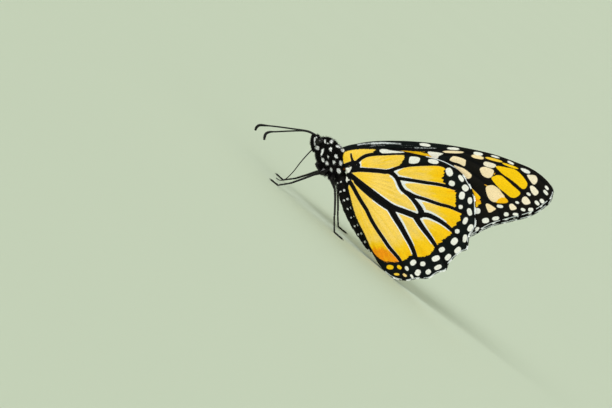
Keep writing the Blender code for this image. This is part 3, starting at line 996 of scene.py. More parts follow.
FORE_MARKINGS = Markings(
    veins=(
        Line(((24.5, 5.6), (30.9, 4.5), (35.0, 3.7), (38.3, 2.4), (40.9, 0.5)), 0.18, 0.16),
        Line(((40.9, 0.5), (42.6, -0.2), (45.2, -0.7), (47.1, -2.4), (48.8, -4.0)), 0.18, 0.12),
        Line(((35.2, 2.4), (38.8, 1.3), (41.6, 0.0), (43.1, -1.9), (43.4, -2.7), (45.5, -3.6), (46.9, -5.2),
            (48.0, -6.4)), 0.18, 0.12),
        Line(((23.3, 4.4), (26.4, 4.3), (29.3, 3.3), (32.4, 1.7), (35.0, 0.6), (37.1, -1.0), (39.3, -2.6),
            (41.2, -4.0), (43.1, -5.6), (44.0, -7.1), (44.7, -8.9)), 0.2, 0.14),
        Line(((23.8, 3.1), (26.4, 1.9), (28.3, 1.1), (30.7, -0.5), (32.6, -1.9), (35.2, -3.5), (37.1, -5.2),
            (38.8, -6.7), (40.3, -7.6), (40.9, -8.8), (41.3, -10.2)), 0.2, 0.14),
        Line(((24.5, 1.9), (26.4, 0.5), (28.3, -1.2), (29.3, -2.6), (31.2, -4.5), (32.6, -5.9), (34.3, -7.0),
            (35.7, -8.1), (36.4, -9.6), (36.8, -11.2)), 0.22, 0.14),
        Line(((18.0, 0.2), (22.0, -3.2), (26.5, -8.0), (29.8, -11.8), (31.9, -13.6)), 0.22, 0.14),
        Line(((0.0, 4.6), (8.0, 2.0), (16.0, -3.2), (22.0, -8.8), (27.0, -14.4)), 0.2, 0.15),
        Line(((0.0, 5.2), (8.0, 5.6), (16.0, 5.8), (24.0, 5.5), (30.0, 4.9)), 0.25, 0.18),
        Line(((0.0, 5.0), (8.0, 3.6), (14.0, 1.8), (18.0, 0.2), (24.5, 1.9)), 0.25, 0.2),
    ),
    zone=(
        (2.0, 5.0), (8.0, 5.7), (13.6, 5.55), (17.4, 5.1), (20.0, 4.4), (20.6, 4.0), (22.0, 2.5),
        (23.5, 0.5), (25.5, -1.6), (28.0, -3.2), (30.1, -3.5), (31.0, -4.4), (31.6, -5.5), (31.8, -7.2),
        (31.2, -7.6), (29.0, -9.6), (27.0, -12.2), (25.5, -13.0), (17.0, -8.0), (7.4, -1.4), (2.0, 2.0),
    ),
    marks=(
        Spot(-0.95, 5.45, 0.5, 0.42, 30), Spot(18.6, 6.8, 1.38, 0.38, -8), Spot(25.3, 5.9, 1.55, 0.3, -4),
        Spot(31.2, 4.7, 1.17, 0.4, -10), Spot(35.25, 4.0, 1.15, 0.22, -16),
        Spot(38.95, 2.55, 0.9, 0.28, -25),
        Patch(((41.2, 1.25), (42.2, 1.2), (43.4, 0.6), (43.55, 0.05), (42.9, 0.0), (42.0, 0.35))),
        Spot(25.3, 5.1, 2.55, 0.3, -2, 0.3), Spot(31.1, 3.9, 1.55, 0.42, -12, 0.35),
        Spot(34.95, 3.3, 2.15, 0.31, -15, 0.7), Spot(38.85, 1.8, 2.1, 0.27, -19, 0.75),
        Spot(31.0, -8.9, 0.8, 0.7), Spot(36.4, -7.8, 0.8, 0.4, -10), Spot(40.5, -6.9, 0.5, 0.3, -20),
        Spot(43.2, -4.9, 0.6, 0.33, -35),
        Patch(((38.6, -7.4), (39.4, -7.2), (40.35, -8.1), (40.1, -8.6), (38.95, -8.65)), 0.22),
        Patch(((41.9, -5.6), (42.75, -5.55), (43.6, -6.65), (43.5, -7.2), (42.35, -7.4),
            (41.55, -6.6)), 0.18),
        Patch(((43.5, -3.05), (44.3, -2.95), (45.45, -4.1), (45.5, -4.75), (44.65, -5.25),
            (43.85, -4.4)), 0.16),
        Patch(((42.75, -0.35), (43.5, -0.3), (44.8, -0.45), (45.3, -1.3), (45.1, -2.2), (44.5, -2.65),
            (43.8, -2.1)), 0.2),
        Spot(33.0, -11.2, 0.85, 0.65, 10), Spot(35.4, -10.7, 0.85, 0.48, 10), Spot(37.9, -9.7, 0.6, 0.5),
        Spot(40.1, -9.7, 0.7, 0.35, -5), Spot(41.9, -8.6, 0.6, 0.38, -20), Spot(43.7, -8.6, 0.65, 0.48),
        Spot(45.2, -7.0, 0.72, 0.42, -48), Spot(46.4, -6.55, 0.65, 0.46, -50),
        Spot(47.25, -4.5, 0.78, 0.38, -50), Spot(47.5, -3.38, 0.64, 0.34, -52),
        Spot(31.0, -13.2, 0.6, 0.4, 40), Spot(28.6, -13.9, 0.5, 0.35, 30),
        Spot(33.0, -2.75, 0.45, 0.12, -25, 0.9), Spot(35.1, -0.1, 0.35, 0.12, 50, 0.9),
        Patch(((19.3, 5.2), (22.9, 4.8), (22.7, 4.5), (21.9, 4.1), (21.5, 3.5), (20.2, 3.9)), 0.05),
        Patch(((24.5, 3.4), (25.3, 4.1), (26.7, 3.9), (28.2, 3.3), (28.3, 2.8), (28.0, 1.7), (26.7, 2.3),
            (24.8, 2.9)), 0.3),
        Patch(((25.3, 2.0), (26.5, 1.7), (28.0, 1.1), (29.3, 0.1), (29.7, -0.4), (29.5, -1.0), (28.8, -1.3),
            (28.1, -0.8), (27.4, 0.0), (26.3, 0.9)), 0.32),
        Patch(((32.9, 2.85), (35.4, 2.15), (34.7, 1.3), (32.6, 1.95)), 0.16),
        Patch(((31.6, 1.1), (32.7, 1.6), (34.8, 0.9), (34.9, 0.0), (34.4, -0.8), (33.5, -1.1),
            (32.2, -0.4)), 0.3),
        Patch(((35.4, 1.5), (35.9, 1.8), (37.8, 1.5), (39.9, 1.0), (41.4, -0.2), (42.7, -1.9), (42.9, -2.7),
            (42.4, -3.6), (41.6, -3.6), (40.3, -2.5), (38.6, -1.2), (37.1, -0.2)), 0.76),
        Patch(((34.4, -1.3), (35.0, -0.6), (36.5, -0.4), (38.0, -1.5), (39.5, -2.9), (41.0, -4.2),
            (41.2, -4.9), (40.2, -5.7), (39.0, -5.7), (37.6, -4.6), (36.1, -3.4)), 0.76),
        Patch(((33.0, -3.6), (33.5, -2.9), (34.8, -2.8), (36.1, -3.6), (36.9, -4.6), (37.6, -5.6),
            (36.6, -6.0), (35.6, -6.8), (34.4, -6.6), (33.5, -5.5)), 0.34),
        Patch(((35.4, -6.8), (35.9, -5.9), (37.1, -5.4), (38.3, -6.4), (38.0, -7.0), (36.4, -7.1)), 0.84),
        Patch(((33.0, -7.4), (33.7, -7.2), (35.4, -8.3), (35.3, -8.6), (34.1, -9.3), (33.5, -8.9)), 0.35),
    ),
    frost=(
        Line(((2.6, 6.8), (4.6, 7.05), (6.9, 7.2), (9.5, 7.28), (12.9, 7.02)), 0.12, 0.1),
        Line(((5.9, 7.12), (8.5, 7.22), (10.9, 7.15)), 0.22, 0.15),
        Line(((5.6, 6.4), (7.2, 6.6), (9.0, 6.65)), 0.03, 0.0),
        Line(((12.2, 6.6), (14.2, 6.7), (15.8, 6.6)), -0.08, -0.08),
        Line(((12.6, 6.15), (15.4, 6.1)), -0.08, -0.05),
        Line(((16.2, 6.1), (18.6, 6.05), (21.2, 6.0)), 0.08, 0.02),
    ),
)


@dataclass
class Wing:
    """One wing: a thin pleated membrane with raised veins, and a fringe of long scales along its margin.

    Places round the outline are shares of it. layers_in counts the wings outside this one.
    """

    name: str
    side: Side
    hinge: Pair
    edge: Route
    markings: Markings
    layers_in: int
    fringe_from: float
    fringe_to: float
    rim_from: float
    dark_share: float = -0.1
    droop: float = 0.0
    apart: float = 1.2
    layer_gap: float = 0.8
    flare: float = 1.42
    camber: float = 0.2
    half_thick: float = 0.06
    lattice: float = 0.2
    inset: float = 0.3
    bare_inset: float = 0.04
    pleat: float = 0.13
    ripple: float = 0.03
    vein_radius: float = 0.15
    vein_sides: int = 6
    scale_step: float = 0.075
    scale_wide: float = 0.055
    scale_thick: float = 0.022
    scale_root: float = 0.12
    dash: float = 3.0
    seed: int = 5

    def outline(self) -> Points:
        """The outline, hinge first, without the fringe.

        Returns:
            Its chart points.
        """
        loop = np.vstack([[self.hinge], smooth_path(self.edge, 0.35)])
        ahead = np.roll(loop, -1, axis=0) - np.roll(loop, 1, axis=0)
        inward = unit(np.column_stack([ahead[:, 1], -ahead[:, 0]]))
        share = np.linspace(0, 1, len(loop))
        fringed = eased(share, self.fringe_from - 0.03, self.fringe_from + 0.02)
        fringed *= 1 - eased(share, self.fringe_to - 0.02, self.fringe_to + 0.03)
        return loop + inward * (self.bare_inset + (self.inset - self.bare_inset) * fringed)[:, None]

    def place(self, chart: Points, lift: Points) -> Points:
        """Where chart points are, lifted off the sheet's middle, outwards being positive.

        Args:
            chart: the points (u, v).
            lift: how far each is from the sheet's middle.

        Returns:
            The points in the part's frame, in millimetres.
        """
        hinge = np.array(self.hinge)
        c, s = math.cos(self.droop), math.sin(self.droop)
        u, v = ((chart - hinge) @ np.array([[c, s], [-s, c]]) + hinge).T
        c, s = math.cos(WING_TURN), math.sin(WING_TURN)
        x, z = u * c - v * s, u * s + v * c
        along, over = along_body(x, z)
        beside_body = (1 - eased(over, 4.0, 11.0)) * (1 - eased(along, 24.0, 36.0))
        bowed = self.camber * np.sin(np.pi * np.clip((over - 11.0) / 24.0, 0, 1)) ** 2
        out = self.apart + bowed + self.flare * beside_body - self.layer_gap * self.layers_in
        placed = np.column_stack([x, self.side.value * (out + lift), z]) + HINGE
        placed[:, 2] = np.maximum(placed[:, 2], 0.0)
        return placed

    def spots(self, chart: Points) -> Points:
        """Where chart points lie in the outer face's half of the UV map."""
        low, high = self.outline().min(0), self.outline().max(0)
        return (chart - low) / ((high - low).max() * 1.04) * (0.98, 0.49) + 0.01

    def swell(self, band: Points, inwards: Points) -> Points:
        """How far the membrane bulges, given the distances from its veins and from its edge."""
        return self.pleat * (1 - np.exp(-np.maximum(band, 0) / 1.1)) * eased(inwards, 0.0, 1.5)

    def looks(self, at: Points) -> Fields:
        """The markings, how deep the orange is and how brown the dark ground is.

        Args:
            at: chart points.

        Returns:
            The fields that the wing finish reads, but for those that tell the wing's faces and rim apart.
        """
        fields = self.markings.fields(at)
        u, v = at[:, 0], at[:, 1]
        if self.layers_in:
            return {**fields, "depth": np.full(len(at), 0.75), "earth": eased(u, 22, 30)}
        radius = np.linalg.norm(at, axis=1)
        corner = eased(-v - u * 1.35, 1.5, 4.5) * eased(-v, 14.5, 19.0)
        outer = (1 - eased(-fields["zone"], 1.0, 6.5)) * (0.2 + 0.46 * eased(radius, 18.0, 23.0))
        base = 0.3 * (1 - eased(radius, 3.5, 9.0))
        depth = np.max([outer, base, corner, np.full(len(at), 0.06)], axis=0)
        return {**fields, "depth": depth, "earth": np.zeros(len(at))}

    def sheet(self) -> tuple[Points, Points, Points]:
        """The outline filled with even triangles.

        Returns:
            The chart points, the triangles, and the edges that only one triangle has.
        """
        outline = self.outline()
        low, high = outline.min(0), outline.max(0)
        rows = np.arange(low[1], high[1], self.lattice * 0.866)
        u, v = np.meshgrid(np.arange(low[0], high[0], self.lattice), rows)
        u = u + np.where(np.arange(len(rows)) % 2, self.lattice / 2, 0)[:, None]
        grid = np.column_stack([u.ravel(), v.ravel()])
        grid = grid[outline_distance(grid, outline) < -self.lattice * 0.5]
        border = [(i, (i + 1) % len(outline)) for i in range(len(outline))]
        found = delaunay_2d_cdt([Vector(p) for p in np.vstack([outline, grid])], border, [], 1, 1e-6)
        flat = np.array([tuple(p) for p in found[0]])
        faces = np.array([f for f in found[2] if len(f) == 3])
        a, b, c = flat[faces[:, 0]], flat[faces[:, 1]], flat[faces[:, 2]]
        area = (b - a)[:, 0] * (c - a)[:, 1] - (b - a)[:, 1] * (c - a)[:, 0]
        faces[area < 0] = faces[area < 0][:, ::-1]
        faces = faces[np.abs(area) > 1e-9]
        edges = np.vstack([faces[:, [0, 1]], faces[:, [1, 2]], faces[:, [2, 0]]])
        held = {tuple(e) for e in edges}
        return flat, faces, np.array([e for e in edges if (e[1], e[0]) not in held])

    def membrane(self) -> Shell:
        """The two faces and their edge, with all that the finish reads.

        Returns:
            The mesh.
        """
        flat, faces, rim = self.sheet()
        outline = self.outline()
        inwards = -outline_distance(flat, outline)
        _, share = line_distance(flat, np.vstack([outline, outline[:1]]))
        rimmed = eased(share, self.rim_from - 0.01, self.rim_from + 0.01)
        rimmed *= 1 - eased(share, self.fringe_to - 0.01, self.fringe_to + 0.01)
        looks = {**self.looks(flat), "rim": inwards + NOWHERE_NEAR * (1 - rimmed)}
        lift = self.swell(looks["band"], inwards)
        lift = lift + self.ripple * np.sin(looks["ray"][:, 0] * 2.4) * eased(inwards, 0.0, 1.0)
        points = [self.place(flat, lift + half) for half in (self.half_thick, -self.half_thick)]
        fields = {name: np.concatenate([kept, kept]) for name, kept in looks.items()}
        count = len(flat)
        fields["upper"] = np.r_[np.zeros(count), np.ones(count)]
        strip = np.column_stack([rim[:, 1], rim[:, 0], rim[:, 0] + count, rim[:, 1] + count])
        blocks = [faces, faces[:, ::-1] + count, strip]
        if self.side is Side.RIGHT:
            blocks = [block[:, ::-1] for block in blocks]
        spots = self.spots(flat)
        spots = np.vstack([spots, spots + (0, 0.5)])
        edging = self.spots(np.vstack([flat, flat + (flat - flat.mean(0)) * 0.01]))
        patches = [at[block].reshape(-1, 2) for at, block in zip((spots, spots, edging), blocks)]
        return Shell(np.vstack(points), blocks, fields, patches)

    def vein_tubes(self) -> Shell:
        """The veins, standing proud of the membrane on both faces.

        Returns:
            The mesh.
        """
        shell = Shell()
        outline = self.outline()
        for vein in self.markings.veins:
            route = smooth_path(vein.route, 0.5)
            route = route[outline_distance(route, outline) < -0.12]
            if len(route) < 3:
                continue
            looks = self.looks(route)
            middle = self.place(route, self.swell(looks["band"], -outline_distance(route, outline)))
            taper = 1 - 0.55 * np.linspace(0, 1, len(route))
            radii = self.vein_radius * (vein.start / VEIN_WIDTH) * taper
            tube = tube_shell(middle, radii, self.vein_sides, 0.95)
            index = np.r_[np.repeat(np.arange(len(route)), self.vein_sides), 0, len(route) - 1]
            tube.fields = {name: kept[index] for name, kept in looks.items()}
            upper = ((tube.points - middle[index])[:, 1] * self.side.value < 0).astype(float)
            tube.fields.update(upper=upper, rim=np.full(len(index), NOWHERE_NEAR))
            spots = self.spots(route[index]) + upper[:, None] * (0, 0.5)
            tube.patches = [spots[faces].reshape(-1, 2) for faces in tube.faces]
            shell.join(tube)
        return shell

    def fringe(self) -> Shell:
        """Long scales along the margin, in dashes of white and black.

        Returns:
            The mesh.
        """
        rng = np.random.default_rng(self.seed)
        path = smooth_path(self.edge, self.scale_step)
        share = np.linspace(0, 1, len(path))
        kept = (share > self.fringe_from) & (share < self.fringe_to)
        ahead = unit(np.gradient(path, axis=0))[kept]
        path = path[kept]
        count = len(path)
        outward = np.column_stack([-ahead[:, 1], ahead[:, 0]])
        band = self.markings.nearest(path - outward * 0.5, self.markings.veins)[0]
        run = np.arange(count) * self.scale_step
        wave = np.sin(run * 2 * np.pi / self.dash) + rng.normal(0, 0.15, count)
        white = ((band > 0.35) & (wave > self.dark_share)).astype(float)
        root = path - outward * (self.inset + self.scale_root)
        length = self.inset + self.scale_root + rng.uniform(-0.12, 0.0, count) - 0.06 * (1 - white)
        lean = ahead * rng.normal(0, 0.12, count)[:, None]
        tip = root + (outward + lean) * length[:, None]
        lift = rng.uniform(-0.04, 0.04, count)
        wide = ahead * self.scale_wide
        corners = [root + wide, root - wide, tip + wide * 0.5, tip - wide * 0.5]
        points = [self.place(c, lift + t) for t in (self.scale_thick, -self.scale_thick) for c in corners]
        box = np.array([[0, 1, 3, 2], [4, 6, 7, 5], [0, 4, 5, 1], [2, 3, 7, 6], [0, 2, 6, 4], [1, 5, 7, 3]])
        faces = (box + 8 * np.arange(count)[:, None, None]).reshape(-1, 4)
        if self.side is Side.LEFT:
            faces = faces[:, ::-1]
        fields = {"white": np.repeat(white, 8), "shine": np.repeat(rng.uniform(-1, 1, count), 8)}
        low, high = path.min(0) - 1, path.max(0) + 1
        spots = np.repeat((root - low) / (high - low).max(), 24, axis=0) * 0.99
        patches = [spots + np.tile(PATCH_CORNERS, (len(faces), 1))]
        return Shell(np.stack(points, axis=1).reshape(-1, 3), [faces], fields, patches)

    def build(self) -> list[bpy.types.Object]:
        """Makes the wing's pieces.

        Returns:
            The wing and its fringe.
        """
        node = f"{self.name}_{self.side.word}"
        shell = self.membrane()
        shell.join(self.vein_tubes())
        wing = shell.piece(node + "_skin", WING_SCALES)
        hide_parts(node)
        fringe = self.fringe().piece(node + "_fringe", FRINGE_SCALES, smooth=False)
        return [wing, fringe]


# ---------------------------------------- coats


def ring_about(middle: Any, up: Any, half: float, tall: float, square: float, sides: int) -> Points:
    """A rounded ring that stands across the body.

    Args:
        middle: its middle.
        up: the direction that its height lies in.
        half: half its width from side to side.
        tall: half its height.
        square: how square it is, 2 being an ellipse.
        sides: how many points go round it.

    Returns:
        The points, one per row.
    """
    angle = (2 * np.pi * np.arange(sides) / sides)[:, None]
    c, s = np.cos(angle), np.sin(angle)
    across = half * np.sign(c) * np.abs(c) ** (2 / square)
    rise = tall * np.sign(s) * np.abs(s) ** (2 / square)
    return np.array(middle) + across * np.array((0, 1, 0)) + rise * np.array(up)


@dataclass(frozen=True)
class Egg:
    """An ellipsoid: its middle, its half sizes, and how far it is tipped about the side-to-side axis."""

    middle: Triple
    half: Triple
    pitch: float = 0.0
    rings: int = 24
    sides: int = 32

    def shell(self, about: Points, sign: int = 1) -> Shell:
        """The egg as a mesh.

        Args:
            about: the place that its middle is measured from.
            sign: -1 for its mirror image on the left side.

        Returns:
            The mesh.
        """
        lat = np.linspace(-np.pi / 2, np.pi / 2, self.rings + 2)[1:-1, None]
        lon = 2 * np.pi * np.arange(self.sides) / self.sides
        ball = [np.cos(lat) * np.cos(lon), np.cos(lat) * np.sin(lon), np.sin(lat) + 0 * lon]
        placed = tipped(np.stack(ball, axis=-1) * self.half, self.pitch)
        return loft_shell(placed + (about + np.array(self.middle) * (1, sign, 1)))


def skinned(shells: Sequence[Shell], voxel: float, rounds: int) -> Shell:
    """One smooth closed skin round several overlapping shapes.

    Args:
        shells: the shapes.
        voxel: the size of its faces, in millimetres.
        rounds: how many times it is smoothed.

    Returns:
        The skin.
    """
    together = Shell()
    for shell in shells:
        together.join(shell)
    mesh = bpy.data.meshes.new("rough_skin")
    faces = [tuple(face) for block in together.faces for face in block.tolist()]
    mesh.from_pydata(together.points.tolist(), [], faces)
    rough = stood("rough_skin", mesh)
    wrap = rough.modifiers.new("wrap", "REMESH")
    wrap.mode, wrap.voxel_size = "VOXEL", voxel
    bpy.context.view_layer.update()
    shown = rough.evaluated_get(bpy.context.evaluated_depsgraph_get())
    bm = bmesh.new()
    bm.from_mesh(shown.to_mesh())
    for _ in range(rounds):
        axes = {"use_axis_x": True, "use_axis_y": True, "use_axis_z": True}
        bmesh.ops.smooth_vert(bm, verts=bm.verts, factor=0.5, **axes)
    points = np.array([vert.co[:] for vert in bm.verts])
    blocks = [[[v.index for v in face.verts] for face in bm.faces if len(face.verts) == n] for n in (4, 3)]
    bm.free()
    bpy.data.objects.remove(rough)
    bpy.data.meshes.remove(mesh)
    return Shell(points, [np.array(block) for block in blocks if block])


def skin_normals(skin: Shell) -> Points:
    """The outward direction at each point of a skin.

    Args:
        skin: the skin.

    Returns:
        The directions, one per row.
    """
    normals = np.zeros_like(skin.points)
    for faces in skin.faces:
        a, b, c = (skin.points[faces[:, i]] for i in range(3))
        cross = np.cross(b - a, c - a)
        for i in range(faces.shape[1]):
            np.add.at(normals, faces[:, i], cross)
    return unit(normals)


@dataclass(frozen=True)
class Hair:
    """One kind of hair or body scale: how many grow on a square millimetre, and its shape in millimetres.

    rise is how steeply it stands up, in degrees, and droop how much of that its tip gives back.
    """

    density: float
    length: float
    width: float
    rise: float = 25.0
    vary: float = 0.35
    droop: float = 0.3
    stray: float = 0.25
    white_only: bool = False


def scattered(skin: Shell, density: float, rng: np.random.Generator) -> tuple[Points, Points]:
    """Random places on a skin and the outward directions there.

    Args:
        skin: the skin.
        density: how many there are to a square millimetre.
        rng: the source of the draws.

    Returns:
        The places and the directions, one per row.
    """
    blocks = [np.vstack([f[:, :3], f[:, [0, 2, 3]]]) if f.shape[1] == 4 else f for f in skin.faces]
    corners = np.vstack(blocks)
    a, b, c = (skin.points[corners[:, i]] for i in range(3))
    cross = np.cross(b - a, c - a)
    area = np.linalg.norm(cross, axis=1) / 2
    count = int(area.sum() * density)
    chosen = rng.choice(len(area), count, p=area / area.sum())
    r, s = rng.random((2, count, 1))
    flip = (r + s) > 1
    r, s = np.where(flip, 1 - r, r), np.where(flip, 1 - s, s)
    a, b, c = a[chosen], b[chosen], c[chosen]
    return a + (b - a) * r + (c - a) * s, unit(cross[chosen])


def grow(
    roots: Points, normals: Points, lie: Points, hair: Hair, rng: np.random.Generator
) -> tuple[Shell, Points]:
    """Tapered, bent, three-sided tufts.

    Args:
        roots: where they grow.
        normals: the outward directions there.
        lie: the way that the coat lies there.
        hair: what grows.
        rng: the source of the draws.

    Returns:
        The tufts, and which root each of their points belongs to.
    """
    count = len(roots)
    lie = lie + rng.normal(0, hair.stray, (count, 3))
    lie = unit(lie - normals * np.sum(lie * normals, axis=1)[:, None])
    rise = np.radians(hair.rise + rng.normal(0, 7, count))[:, None]
    ahead = lie * np.cos(rise) + normals * np.sin(rise)
    bent = lie * np.cos(rise * (1 - hair.droop)) + normals * np.sin(rise * (1 - hair.droop))
    across = unit(np.cross(ahead, normals))
    over = np.cross(across, ahead)
    length = hair.length * (1 + rng.uniform(-hair.vary, hair.vary, count))[:, None]
    turn = rng.uniform(0, 2 * np.pi, count)
    start = roots - normals * 0.05
    middle = start + ahead * length * 0.55
    points = np.zeros((count, 7, 3))
    for i in range(3):
        angle = (turn + i * 2 * np.pi / 3)[:, None]
        spoke = across * np.cos(angle) + over * np.sin(angle)
        points[:, i] = start + spoke * hair.width / 2
        points[:, 3 + i] = middle + spoke * hair.width * 0.4
    points[:, 6] = middle + bent * length * 0.5
    first = 7 * np.arange(count)[:, None, None]
    quads = np.array([[0, 1, 4, 3], [1, 2, 5, 4], [2, 0, 3, 5]])
    threes = np.array([[3, 4, 6], [4, 5, 6], [5, 3, 6], [0, 2, 1]])
    faces = [(block + first).reshape(-1, block.shape[1]) for block in (quads, threes)]
    return Shell(points.reshape(-1, 3), faces), np.repeat(np.arange(count), 7)


@dataclass
class Coat:
    """Hair over part of the insect, coloured as the skin is where each tuft grows.

    lie, colours, bare and unwrap tell of places on the skin: the way the coat lies, its colours, whether
    nothing grows, and where they are in the UV map.
    """

    name: str
    skin: Shell
    layers: tuple[Hair, ...]
    lie: Callable[[Points], Points]
    colours: Callable[[Points, Points], Fields]
    bare: Callable[[Points], Points]
    unwrap: Callable[[Points], Points]
    seed: int = 11

    def build(self) -> bpy.types.Object:
        """Grows the layers.

        Returns:
            All of them in one piece.
        """
        rng = np.random.default_rng(self.seed)
        whole = Shell()
        for hair in self.layers:
            roots, normals = scattered(self.skin, hair.density, rng)
            way = self.lie(roots) * hair.length
            looks = self.colours(roots + way * 0.5, normals)
            white = looks["white"] > 0.5
            kept = ~self.bare(roots) & (white | (not hair.white_only))
            for share in (0.1, 0.9):
                # Dark tufts don't reach over the white ones
                kept &= white | (self.colours(roots + way * share, normals)["white"] < 0.5)
            roots, normals = roots[kept], normals[kept]
            tufts, owner = grow(roots, normals, self.lie(roots), hair, rng)
            tufts.fields = {name: look[kept][owner] for name, look in looks.items()}
            tufts.fields["shine"] = rng.uniform(-1, 1, len(roots))[owner]
            spots = np.clip(self.unwrap(roots), 0.002, 0.995)[owner]
            for faces in tufts.faces:
                tufts.patches.append((spots[faces] + PATCH_CORNERS[: faces.shape[1]]).reshape(-1, 2))
            whole.join(tufts)
        piece = whole.piece(self.name, FUR, smooth=False)
        return piece


# ---------------------------------------- body


RUST = (Spot(-1.9, 3.4, 0.4, 0.22, 80), Spot(-2.2, 5.2, 0.4, 0.22, 40), Spot(-1.1, 0.7, 0.5, 0.2, 80))
STREAK = Spot(-10.66, 0.92, 0.95, 0.2, 130)


@dataclass
class Body:
    """Head, thorax and abdomen under one skin, and the fur and scales that grow on it.

    A station of the thorax is its x, top, bottom and half width. One of the abdomen is the distance along it,
    how far its middle is lifted, and its half height and half width. Eggs round off what lies between.
    """

    coat: float = 0.28
    head_coat: float = 0.2
    voxel: float = 0.11
    segments: int = 9
    segment_step: float = 0.1
    thorax: tuple[tuple[float, ...], ...] = (
        (-10.1, 2.7, 0.7, 0.8), (-9.5, 3.3, -0.6, 1.5), (-8.5, 3.95, -1.6, 2.15), (-7.2, 4.1, -2.4, 2.6),
        (-5.8, 4.0, -2.65, 2.75), (-4.4, 3.75, -2.7, 2.65), (-3.0, 3.1, -2.7, 2.45), (-1.8, 2.0, -2.6, 2.2),
        (-0.8, 0.7, -2.5, 1.9), (-0.3, -0.2, -2.4, 1.6),
    )
    abdomen: tuple[tuple[float, ...], ...] = (
        (0.0, 0.0, 1.45, 1.5), (1.4, 0.0, 1.7, 1.7), (3.2, -0.1, 2.0, 1.95), (5.4, -0.2, 2.2, 2.1),
        (8.0, -0.3, 2.25, 2.15), (10.6, -0.3, 2.15, 2.05), (13.2, -0.2, 1.95, 1.85),
        (15.6, -0.05, 1.65, 1.55), (17.6, 0.05, 1.3, 1.2), (19.2, 0.1, 0.9, 0.85), (19.9, 0.1, 0.5, 0.5),
    )
    head_half: Triple = (1.15, 1.3, 1.9)
    face: Egg = Egg((-0.95, 0, 0.5), (0.7, 0.85, 0.9), HEAD_PITCH)
    neck: Egg = Egg((1.3, 0, 0.3), (1.3, 0.85, 1.1))
    waist: Egg = Egg((-1.4, 0, -1.3), (1.6, 1.35, 1.2))
    shoulder: Egg = Egg((-4.3, 2.05, 2.5), (1.2, 0.42, 0.7), 0.4)
    feeler_socket: Egg = Egg((-10.9, 0.44, 2.3), (0.28, 0.26, 0.26))
    leg_roots: Route = ((-5.9, -2.3), (-4.3, -2.6), (-2.6, -2.4))
    leg_root_out: float = 1.1
    leg_root_half: Triple = (0.68, 0.62, 1.2)
    dots: tuple[Spot, ...] = (
        Spot(-9.13, 0.22, 0.42, 0.36, 130), Spot(-7.67, 0.31, 0.85, 0.16, 111),
        Spot(-8.8, 2.5, 0.42, 0.15, 130), Spot(-7.6, 3.3, 0.3, 0.24, 130), Spot(-5.65, 3.45, 0.42, 0.14, 16),
        Spot(-4.3, 3.6, 0.42, 0.42, 130), Spot(-6.6, 2.0, 0.4, 0.26, 130), Spot(-4.5, 1.6, 0.4, 0.36, 130),
        Spot(-5.95, 0.3, 0.26, 0.14, 130), Spot(-6.37, -1.06, 0.38, 0.32, 130),
        Spot(-5.15, -1.0, 0.36, 0.26, 130), Spot(-4.05, 0.2, 0.34, 0.27, 130),
        Spot(-2.7, 1.0, 0.52, 0.28, 130), Spot(-3.45, -1.6, 0.38, 0.24, 130),
        Spot(-1.85, -0.7, 0.44, 0.44, 130), Spot(-4.5, -3.0, 0.38, 0.34, 130),
        Spot(-8.0, 2.6, 0.14, 0.12, 100), Spot(-10.97, 1.95, 0.15, 0.13), Spot(-11.5, 2.2, 0.13, 0.11),
        Spot(-10.55, 2.65, 0.14, 0.12), STREAK,
    )
    # Each piece of the coat: its name, the x between which it grows, and its layers
    coats: tuple[tuple[str, float, float, tuple[Hair, ...]], ...] = (
        ("head_fur", -math.inf, -8.8, (
            Hair(150, 0.34, 0.07, 38, stray=0.3), Hair(22, 0.6, 0.05, 60, stray=0.35),
            Hair(150, 0.3, 0.12, 34, stray=0.12, white_only=True),
        )),
        ("thorax_fur", -8.8, -1.0, (
            Hair(62, 0.6, 0.1, 26, stray=0.25), Hair(14, 0.85, 0.07, 42, stray=0.35),
            Hair(120, 0.42, 0.16, 34, stray=0.12, white_only=True),
        )),
        ("abdomen_scales", -1.0, math.inf, (
            Hair(55, 0.36, 0.12, 9, stray=0.12), Hair(5, 0.5, 0.05, 24, stray=0.25),
        )),
    )

    def abdomen_axis(self) -> tuple[Points, Points, Points]:
        """The abdomen's axis.

        Returns:
            Where it starts, and its directions along and up.
        """
        start = np.array((ABDOMEN_FROM[0], 0.0, ABDOMEN_FROM[1]))
        along = np.array((ABDOMEN_TO[0] - start[0], 0.0, ABDOMEN_TO[1] - start[2]))
        along /= np.linalg.norm(along)
        return start + HINGE, along, np.array((-along[2], 0.0, along[0]))

    def thorax_shell(self) -> Shell:
        """The thorax, the coat's depth inside its outer shape.

        Returns:
            The mesh.
        """
        rings = []
        for x, top, bottom, half in smooth_path(self.thorax, 0.3):
            middle, tall = (x, 0, (top + bottom) / 2), (top - bottom) / 2
            rings.append(ring_about(middle, (0, 0, 1), half - self.coat, tall - self.coat, 2.4, 64))
        return loft_shell(np.array(rings) + HINGE)

    def abdomen_shell(self) -> Shell:
        """The abdomen, with the telescoping edges of its segments.

        Returns:
            The mesh.
        """
        start, along, up = self.abdomen_axis()
        inset = self.coat * 0.6
        rings = []
        stations = smooth_path(self.abdomen, 0.12)
        for distance, lift, deep, half in stations:
            share = distance / stations[-1, 0] * self.segments
            step = (share % 1.0) ** 1.5 * self.segment_step - 0.06
            if share < 1 or share > self.segments - 1:
                step *= 0.3
            middle = start + along * distance + up * lift
            rings.append(ring_about(middle, up, half - inset + step, deep - inset + step, 2.0, 48))
        return loft_shell(np.array(rings))

